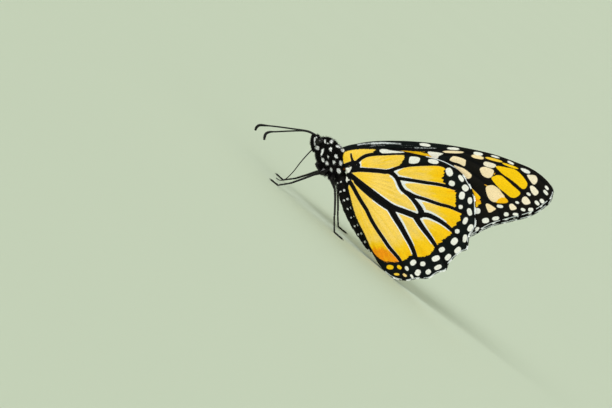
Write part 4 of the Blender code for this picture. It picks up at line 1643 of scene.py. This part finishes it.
    def shapes(self) -> list[Shell]:
        """What the skin goes round.

        Returns:
            The overlapping shapes.
        """
        head = np.array((HEAD_AT[0], 0, HEAD_AT[1])) + HINGE
        skull = Egg((0, 0, 0), tuple(np.array(self.head_half) - self.head_coat), HEAD_PITCH)
        shapes = [self.thorax_shell(), self.abdomen_shell()]
        shapes += [egg.shell(head) for egg in (skull, self.face, self.neck)]
        shapes.append(self.waist.shell(HINGE))
        roots = [Egg((x, self.leg_root_out, z), self.leg_root_half, -0.35) for x, z in self.leg_roots]
        for side in Side:
            shapes += [egg.shell(HINGE, side.value) for egg in (self.shoulder, self.feeler_socket, *roots)]
        return shapes

    def colours(self, at: Points, normals: Points) -> Fields:
        """How white and how orange the coat is at points of the skin.

        Args:
            at: the points.
            normals: the outward directions there.

        Returns:
            The fields that the fur finish reads.
        """
        local = at - HINGE
        side_view = local[:, [0, 2]]
        on_side = np.abs(local[:, 1]) > 0.45
        dotted = np.max([dot.cover(side_view) for dot in self.dots], axis=0) * on_side
        rust = np.max([spot.cover(side_view) for spot in RUST], axis=0) * on_side
        start, along, up = self.abdomen_axis()
        run, rise = (at - start) @ along, (at - start) @ up
        behind = eased(run, 1.2, 2.2)
        # Each segment of the abdomen has a large and a small dot, and a pale line runs underneath
        length = self.abdomen[-1][0]
        ring = np.abs((run / length * self.segments % 1.0) - 0.8) * length / self.segments
        large = 1 - eased(np.hypot(ring, rise + 0.35) / 0.28, 0.8, 1.2)
        small = 1 - eased(np.hypot(ring, rise + 1.25) / 0.2, 0.8, 1.2)
        under = (1 - eased(np.abs(local[:, 1]), 0.1, 0.22)) * (normals @ up < -0.6)
        marks = np.max([large, small, under * 0.7], axis=0)
        return {"white": dotted * (1 - behind) + marks * behind, "orange": 0.7 * rust * (1 - behind)}

    def lie(self, at: Points) -> Points:
        """The way that the coat lies: up the face, back over the thorax, and along the abdomen.

        Args:
            at: points of the skin.

        Returns:
            The directions, one per row.
        """
        _, along, _ = self.abdomen_axis()
        x, y, z = (at - HINGE).T
        back = np.column_stack([np.full(len(at), 0.9), np.sign(y) * 0.1, -0.25 - 0.15 * (z < 0)])
        on_head = (1 - eased(x, -9.4, -8.6))[:, None]
        behind = eased(x, -2.2, 0.2)[:, None]
        front = back * (1 - on_head) + np.array((0.35, 0.0, 0.9)) * on_head
        return front * (1 - behind) + along * behind

    def bare(self, first: float, last: float, at: Points) -> Points:
        """Where nothing grows: out of a coat's reach, and in or close to an eye.

        Args:
            first: the x where the coat starts.
            last: the x where it ends.
            at: points of the skin.

        Returns:
            True for each point that is bare.
        """
        local = at - HINGE
        outside = (local[:, 0] < first) | (local[:, 0] > last)
        from_eye = local - (EYE_AT[0], 0, EYE_AT[1])
        from_eye[:, 1] = np.abs(from_eye[:, 1]) - 1.0
        return outside | (np.linalg.norm(tipped(from_eye, -HEAD_PITCH) / (0.82, 0.88, 1.06), axis=1) < 1.06)

    def unwrap(self, at: Points) -> Points:
        """The skin unrolled: along the body, and round it.

        Args:
            at: points of the skin.

        Returns:
            Their places in the UV map.
        """
        x, y, z = (at - HINGE).T
        along, over = along_body(x, z)
        return np.column_stack([(along + 4) / 36, 0.5 + np.arctan2(y, over + 0.4) / (2 * np.pi)])

    def build(self) -> list[bpy.types.Object]:
        """Makes the skin and grows the coat on it.

        Returns:
            The skin and the pieces of the coat.
        """
        skin = skinned(self.shapes(), self.voxel, 4)
        skin.fields = self.colours(skin.points, skin_normals(skin))
        skin.fields["shine"] = np.full(len(skin.points), -0.6)
        body = skin.piece("body_skin", FUR)
        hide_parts("head", "thorax", "abdomen")
        pieces = [body]
        for name, first, last, layers in self.coats:
            bare = partial(self.bare, first, last)
            pieces.append(Coat(name, skin, layers, self.lie, self.colours, bare, self.unwrap).build())
        return pieces


@dataclass
class Eye:
    """A compound eye: a glossy dome of tiny six-sided lenses."""

    side: Side
    out: float = 1.0
    half: Triple = (0.8, 0.86, 1.04)
    bulge: float = 0.012

    def build(self) -> bpy.types.Object:
        """Makes the dome from the fans about each point of a fine ball.

        Returns:
            The eye.
        """
        bm = bmesh.new()
        bmesh.ops.create_icosphere(bm, subdivisions=5, radius=1)
        points = np.array([vert.co[:] for vert in bm.verts])
        faces = np.array([[v.index for v in face.verts] for face in bm.faces])
        pairs = np.array([[f.index for f in edge.link_faces] for edge in bm.edges])
        ends = np.array([[v.index for v in edge.verts] for edge in bm.edges])
        bm.free()
        ball = np.vstack([points * (1 + self.bulge), unit(points[faces].mean(1))])
        lenses = np.vstack([np.column_stack([ends[:, i], pairs + len(points)]) for i in range(2)])
        a, b, c = (ball[lenses[:, i]] for i in range(3))
        turned = np.sum(np.cross(b - a, c - a) * a, axis=1) < 0
        lenses[turned] = lenses[turned][:, ::-1]
        middle = np.array((EYE_AT[0], self.side.value * self.out, EYE_AT[1])) + HINGE
        shell = Shell(tipped(ball * self.half, HEAD_PITCH) + middle, [lenses])
        eye = shell.piece(f"compound_eye_{self.side.word}", EYE_LENSES)
        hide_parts(f"eye_{self.side.word}")
        return eye


@dataclass
class Palp:
    """A short furry mouth palp that curves up before the face.

    A step of the profile is its share of the way, half width across the way and half width from side to side.
    """

    side: Side
    start: Pair = (-9.2, -1.26)
    end: Pair = (-12.1, 1.8)
    out: float = 0.64
    profile: tuple[Triple, ...] = (
        (0.0, 0.2, 0.2), (0.12, 0.45, 0.3), (0.26, 0.62, 0.34), (0.42, 0.68, 0.5), (0.7, 0.66, 0.54),
        (0.9, 0.5, 0.42), (1.0, 0.2, 0.2),
    )
    joints: Pair = (0.5, 0.84)
    coat: float = 0.12
    layers: tuple[Hair, ...] = (Hair(150, 0.3, 0.07, 24, stray=0.2), Hair(30, 0.42, 0.05, 36, stray=0.3))

    def axis(self) -> tuple[Points, Points, Points]:
        """The palp's axis.

        Returns:
            Its root, the way to its tip with its length, and the way forward across it.
        """
        root, tip = (np.array((x, self.side.value * self.out, z)) + HINGE for x, z in (self.start, self.end))
        ahead = (tip - root) / np.linalg.norm(tip - root)
        return root, tip - root, np.array((-ahead[2], 0, ahead[0]))

    def skin(self) -> Shell:
        """The palp under its fur, drawn in a little where its segments meet.

        Returns:
            The mesh.
        """
        root, way, forward = self.axis()
        places, deep, half = zip(*self.profile)
        rings = []
        for share in np.linspace(0.02, 0.98, 34):
            waist = 1 - sum(0.2 * math.exp(-(((share - joint) / 0.03) ** 2)) for joint in self.joints)
            size = [(np.interp(share, places, given) - self.coat) * waist for given in (half, deep)]
            rings.append(ring_about(root + way * share, forward, *size, 2.0, 20))
        return loft_shell(np.array(rings))

    def colours(self, at: Points, normals: Points) -> Fields:
        """White in the streak on the outer side, dark elsewhere.

        Args:
            at: points of the skin.
            normals: the outward directions there, which make no difference.

        Returns:
            The fields that the fur finish reads.
        """
        outside = at[:, 1] * self.side.value > self.out
        return {"white": STREAK.cover((at - HINGE)[:, [0, 2]], -0.05, 0.08) * outside}

    def unwrap(self, at: Points) -> Points:
        """The palp unrolled: along it, and round it.

        Args:
            at: points of the skin.

        Returns:
            Their places in the UV map.
        """
        root, way, forward = self.axis()
        away = at - root
        turn = np.arctan2(away[:, 1], away @ forward) / (2 * np.pi) + 0.5
        return np.column_stack([away @ way / (way @ way), turn])

    def build(self) -> list[bpy.types.Object]:
        """Makes the palp's pieces.

        Returns:
            Its skin and its fur.
        """
        skin = self.skin()
        skin.fields = {**self.colours(skin.points, skin.points), "shine": np.full(len(skin.points), -0.5)}
        palp = skin.piece(f"palp_skin_{self.side.word}", FUR)
        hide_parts(f"palp_{self.side.word}")
        _, way, _ = self.axis()
        coat = Coat(
            name=f"palp_fur_{self.side.word}",
            skin=skin,
            layers=self.layers,
            lie=lambda at: np.tile(way / np.linalg.norm(way), (len(at), 1)),
            colours=self.colours,
            bare=lambda at: np.zeros(len(at), bool),
            unwrap=self.unwrap,
            seed=21,
        )
        return [palp, coat.build()]


# ---------------------------------------- feelers, tongue and legs


@dataclass
class Feeler:
    """A feeler of many short segments, with a club over the last share of it."""

    side: Side
    route: tuple[Triple, ...]
    shaft: float = 0.19
    club: float = 0.35
    club_share: float = 0.24
    segments: int = 42
    groove: float = 0.16

    def build(self) -> bpy.types.Object:
        """Makes the feeler.

        Returns:
            The feeler.
        """
        path = smooth_path(self.route, 0.06) + HINGE
        share = np.linspace(0, 1, len(path))
        into = np.clip((share - 1 + self.club_share) / self.club_share, 0, 1)
        swell = np.where(into < 0.8, np.sin(np.pi * np.minimum(into * 1.25, 1) / 2), 1 - 3.2 * (into - 0.8))
        radius = self.shaft + (self.club - self.shaft) * swell
        ring = np.abs((share * self.segments) % 1.0 - 0.5) * 2
        radius = np.where(share < 0.02, self.shaft * 1.5, radius * (1 - self.groove * ring**6))
        feeler = tube_shell(path, radius, 14).piece(f"feeler_{self.side.word}", FEELER_HORN)
        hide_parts(f"antenna_{self.side.word}")
        return feeler


@dataclass
class Tongue:
    """The two grooved tubes of the tongue, let down together."""

    route: tuple[Triple, ...] = (
        (-9.75, 0.0, -0.3), (-10.0, 0.0, -1.9), (-10.1, 0.0, -4.9), (-10.0, 0.0, -8.0), (-10.3, 0.0, -10.6),
        (-11.2, 0.0, -11.6), (-12.2, 0.0, -11.72),
    )
    radius: float = 0.16
    taper: float = 0.35
    groove: float = 0.1

    def build(self) -> bpy.types.Object:
        """Makes the tongue.

        Returns:
            The tongue.
        """
        whole = Shell()
        for side in Side:
            path = smooth_path(self.route, 0.05) + HINGE + np.array((0, side.value * self.radius * 0.8, 0))
            share = np.linspace(0, 1, len(path))
            ridge = 1 - self.groove * (np.sin(np.arange(len(path)) * 2.0) > 0.3)
            whole.join(tube_shell(path, self.radius * (1 - self.taper * share) * ridge, 10))
        tongue = whole.piece("tongue", TONGUE_HORN)
        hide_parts("proboscis")
        return tongue


@dataclass
class Leg:
    """A jointed leg with spines, five foot segments and a pair of claws.

    A point of the route is its x, how far out and how high it is, and the solid leg's radius there. Joints
    and the foot's start are shares of the way.
    """

    name: str
    side: Side
    route: tuple[tuple[float, float, float, float], ...]
    joints: tuple[float, ...]
    foot_from: float
    clawed: bool = True
    share_of_radius: float = 0.8
    foot_segments: int = 5
    spine: Hair = Hair(0, 0.3, 0.06, 38, stray=0.1)

    def path_and_radius(self) -> tuple[Points, Points, Points]:
        """The leg's middle line and thickness.

        Returns:
            The points of the line, its radius at each, and how far along each is, from 0 to 1.
        """
        dense = smooth_path(self.route, 0.07)
        path = dense[:, :3] * (1, self.side.value, 1) + (HINGE[0], 0, 0)
        run = np.r_[0, np.cumsum(np.linalg.norm(np.diff(path, axis=0), axis=1))]
        share = run / run[-1]
        radius = dense[:, 3] * self.share_of_radius
        for joint in self.joints:
            away = (share - joint) * run[-1]
            radius = radius * (1 - 0.3 * np.exp(-((away / 0.12) ** 2)))
            radius = radius * (1 + 0.18 * np.exp(-((away / 0.45) ** 2)))
        foot = np.clip((share - self.foot_from) / (1 - self.foot_from), 0, 1)
        notch = np.abs((foot * self.foot_segments) % 1.0 - 0.5) * 2
        radius = np.where(foot > 0, radius * (1 - 0.25 * notch**4), radius)
        path[:, 2] = np.maximum(path[:, 2], radius)
        return path, radius, share

    def spines(self, path: Points, radius: Points, share: Points) -> Shell:
        """Short spines below the knee.

        Args:
            path: the points of the leg's middle line.
            radius: its radius at each.
            share: how far along each is.

        Returns:
            The mesh.
        """
        rng = np.random.default_rng(len(self.name) + self.side.value)
        places = np.flatnonzero(share > self.joints[1])[::5]
        ahead = unit(np.gradient(path, axis=0))[places]
        around = rng.uniform(0, 2 * np.pi, len(places))[:, None]
        beside = unit(np.cross(ahead, (0, 0, 1.0)))
        normals = beside * np.cos(around) + np.cross(beside, ahead) * np.abs(np.sin(around))
        roots = path[places] + normals * radius[places, None] * 0.9
        return grow(roots, normals, ahead, self.spine, rng)[0]

    def claw(self, path: Points, turn: int) -> Shell:
        """One of the two hooks at the foot's end.

        Args:
            path: the points of the leg's middle line.
            turn: the sign of the way that it spreads.

        Returns:
            The mesh.
        """
        end, ahead = path[-1], unit(np.gradient(path, axis=0))[-1]
        out = np.cross(ahead, (0, 0, 1.0)) * turn
        hook = np.array([end, end + ahead * 0.22 + out * 0.12, end + ahead * 0.36 + out * 0.15])
        hook[:, 2] = (end[2], end[2] + 0.06, 0.03)
        curve = smooth_path(hook, 0.04)
        return tube_shell(curve, np.linspace(0.07, 0.015, len(curve)), 6)

    def build(self) -> bpy.types.Object:
        """Makes the leg with its spines and claws.

        Returns:
            The leg.
        """
        path, radius, share = self.path_and_radius()
        shell = tube_shell(path, radius, 14)
        shell.join(self.spines(path, radius, share))
        for turn in (-1, 1) if self.clawed else ():
            shell.join(self.claw(path, turn))
        leg = shell.piece(f"{self.name}_jointed_{self.side.word}", LEG_HORN)
        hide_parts(f"{self.name}_{self.side.word}")
        return leg


FEELER_ROUTES = {
    Side.LEFT: (
        (-10.9, -0.45, 2.2), (-12.3, -0.75, 2.0), (-14.3, -2.0, 1.25), (-16.9, -4.1, -0.85),
        (-19.0, -6.2, -2.65), (-20.2, -7.6, -3.65), (-20.65, -8.3, -4.5), (-20.4, -8.6, -5.3),
        (-20.0, -8.7, -5.9),
    ),
    Side.RIGHT: (
        (-10.9, 0.45, 2.25), (-12.3, 0.7, 2.05), (-13.8, 1.15, 1.5), (-16.5, 2.1, -0.25), (-19.9, 3.4, -2.5),
        (-22.3, 4.25, -4.2), (-23.3, 4.55, -5.0), (-23.55, 4.65, -5.85), (-23.3, 4.65, -6.65),
    ),
}
# Each leg's route, joints, foot's start, and whether it has claws
LEG_ROUTES = {
    "foreleg": ((
        (-5.9, 1.1, 10.1, 0.38), (-6.7, 1.6, 9.6, 0.38), (-7.0, 1.8, 9.3, 0.34), (-6.7, 1.95, 9.0, 0.32),
        (-5.2, 2.1, 8.4, 0.3), (-4.3, 2.05, 8.0, 0.26),
    ), (0.33, 0.4, 0.8), 0.8, False),
    "midleg": ((
        (-4.0, 1.3, 10.2, 0.5), (-4.4, 2.8, 9.0, 0.5), (-5.4, 5.1, 7.7, 0.4), (-5.8, 5.8, 7.2, 0.34),
        (-6.9, 7.0, 5.3, 0.33), (-8.3, 8.5, 3.0, 0.29), (-8.7, 8.9, 2.4, 0.27), (-10.3, 9.9, 0.62, 0.26),
        (-10.8, 10.15, 0.2, 0.26), (-12.8, 10.75, 0.2, 0.26),
    ), (0.11, 0.36, 0.66), 0.66),
    "hindleg": ((
        (-2.2, 1.1, 10.0, 0.5), (-1.8, 2.7, 8.8, 0.5), (-0.2, 4.9, 8.0, 0.42), (0.4, 5.5, 7.6, 0.34),
        (1.8, 6.5, 6.1, 0.33), (4.0, 7.9, 3.4, 0.29), (4.5, 8.2, 2.7, 0.27), (6.3, 9.1, 0.62, 0.26),
        (6.9, 9.35, 0.2, 0.26), (9.2, 9.8, 0.2, 0.26),
    ), (0.11, 0.34, 0.65), 0.65),
}


# ---------------------------------------- studio


@dataclass
class Studio:
    """The floor, the lights and the camera, which looks across the insect and a little down.

    A lamp is its name, the direction that it lies in, how wide it is seen in degrees, and how strong it is.
    """

    target: Triple = (-11.65, 0.0, 0.18)
    view_width: float = 145.7
    distance: float = 1200.0
    elevation: float = math.radians(5)
    roll: float = WING_TURN
    sensor: float = 36.0
    floor_size: float = 12000.0
    sky: tuple = tone(200, 209, 190)
    glow_low: float = 0.98
    glow_drop: float = 0.31
    lamps: tuple[tuple[str, Triple, float, float], ...] = (
        ("key_light", (-0.45, -0.75, 0.7), 35.0, 1.7),
        ("fill_light", (0.8, -0.6, 0.5), 60.0, 0.5),
        ("back_light", (0.2, 0.8, 0.7), 50.0, 0.7),
    )

    def floor(self) -> None:
        """A wide pale floor."""
        half = self.floor_size / 2 * MM
        corners = [(-half, -half, 0), (half, -half, 0), (half, half, 0), (-half, half, 0)]
        mesh = bpy.data.meshes.new("floor")
        mesh.from_pydata(corners, [], [(0, 1, 2, 3)])
        mesh.materials.append(FloorFinish("studio_floor", specular=0.1).material())
        floor = stood("floor", mesh)

    def lights(self) -> None:
        """Far, wide lamps, which light the whole floor alike."""
        for name, towards, softness, strength in self.lamps:
            lamp = bpy.data.lights.new(name, "SUN")
            lamp.angle, lamp.energy = math.radians(softness), strength
            held = stood(name, lamp)
            held.rotation_euler = (-Vector(towards)).to_track_quat("-Z", "Y").to_euler()

    def camera(self) -> None:
        """The camera, rolled so that the insect hangs as it does on a flower."""
        c, s = math.cos(self.elevation), math.sin(self.elevation)
        back = Vector((0, -c, s))
        level, rise = Vector((1, 0, 0)), Vector((0, s, c))
        right = level * math.cos(self.roll) + rise * math.sin(self.roll)
        up = rise * math.cos(self.roll) - level * math.sin(self.roll)
        made = bpy.data.cameras.new("camera")
        made.sensor_width = self.sensor
        made.lens = self.sensor * self.distance / self.view_width
        made.clip_end = 60.0
        turn = Matrix((right, up, back)).transposed().to_4x4()
        place = Vector(self.target) * MM + back * self.distance * MM
        held = stood("camera", made)
        held.matrix_world = Matrix.Translation(place) @ turn
        bpy.context.scene.camera = held

    def surroundings(self) -> None:
        """The light all round, brightest low down, so that the floor fades into it."""
        world = bpy.data.worlds.new("studio")
        g = Graph(world, "Background")
        towards = g.add("ShaderNodeTexCoord", {}, {}, "Generated")
        height = g.add("ShaderNodeSeparateXYZ", {}, {"Vector": towards}, "Z")
        g.feed(g.shader.inputs["Color"], self.sky)
        g.feed(g.shader.inputs["Strength"], self.glow_low - height.rise(0.08, 0.3) * self.glow_drop)
        bpy.context.scene.world = world

    def build(self) -> None:
        """Sets everything up."""
        self.floor()
        self.lights()
        self.surroundings()
        bpy.context.scene.view_settings.view_transform = "Standard"
        self.camera()


def main() -> None:
    """Builds the butterfly and its studio, and reports each piece."""
    logging.basicConfig(level=logging.INFO, format="%(message)s")
    pieces = []
    for side in Side:
        fore = Wing(
            "forewing", side, FORE_HINGE, FORE_EDGE, FORE_MARKINGS, layers_in=1, fringe_from=0.46,
            fringe_to=0.7, rim_from=0.465, dark_share=0.6, droop=DROOP_RIGHT if side is Side.RIGHT else 0.0,
        )
        hind = Wing(
            "hindwing", side, HIND_HINGE, HIND_EDGE, HIND_MARKINGS, layers_in=0, fringe_from=0.33,
            fringe_to=0.76, rim_from=0.235,
        )
        pieces += [*fore.build(), *hind.build(), Eye(side).build(), *Palp(side).build()]
        pieces.append(Feeler(side, FEELER_ROUTES[side]).build())
        pieces += [Leg(name, side, *given).build() for name, given in LEG_ROUTES.items()]
    pieces += [*Body().build(), Tongue().build()]
    for piece in pieces:
        LOG.info("%s: %d faces", piece.name, len(piece.data.polygons))
    Studio().build()


if __name__ == "__main__":
    main()
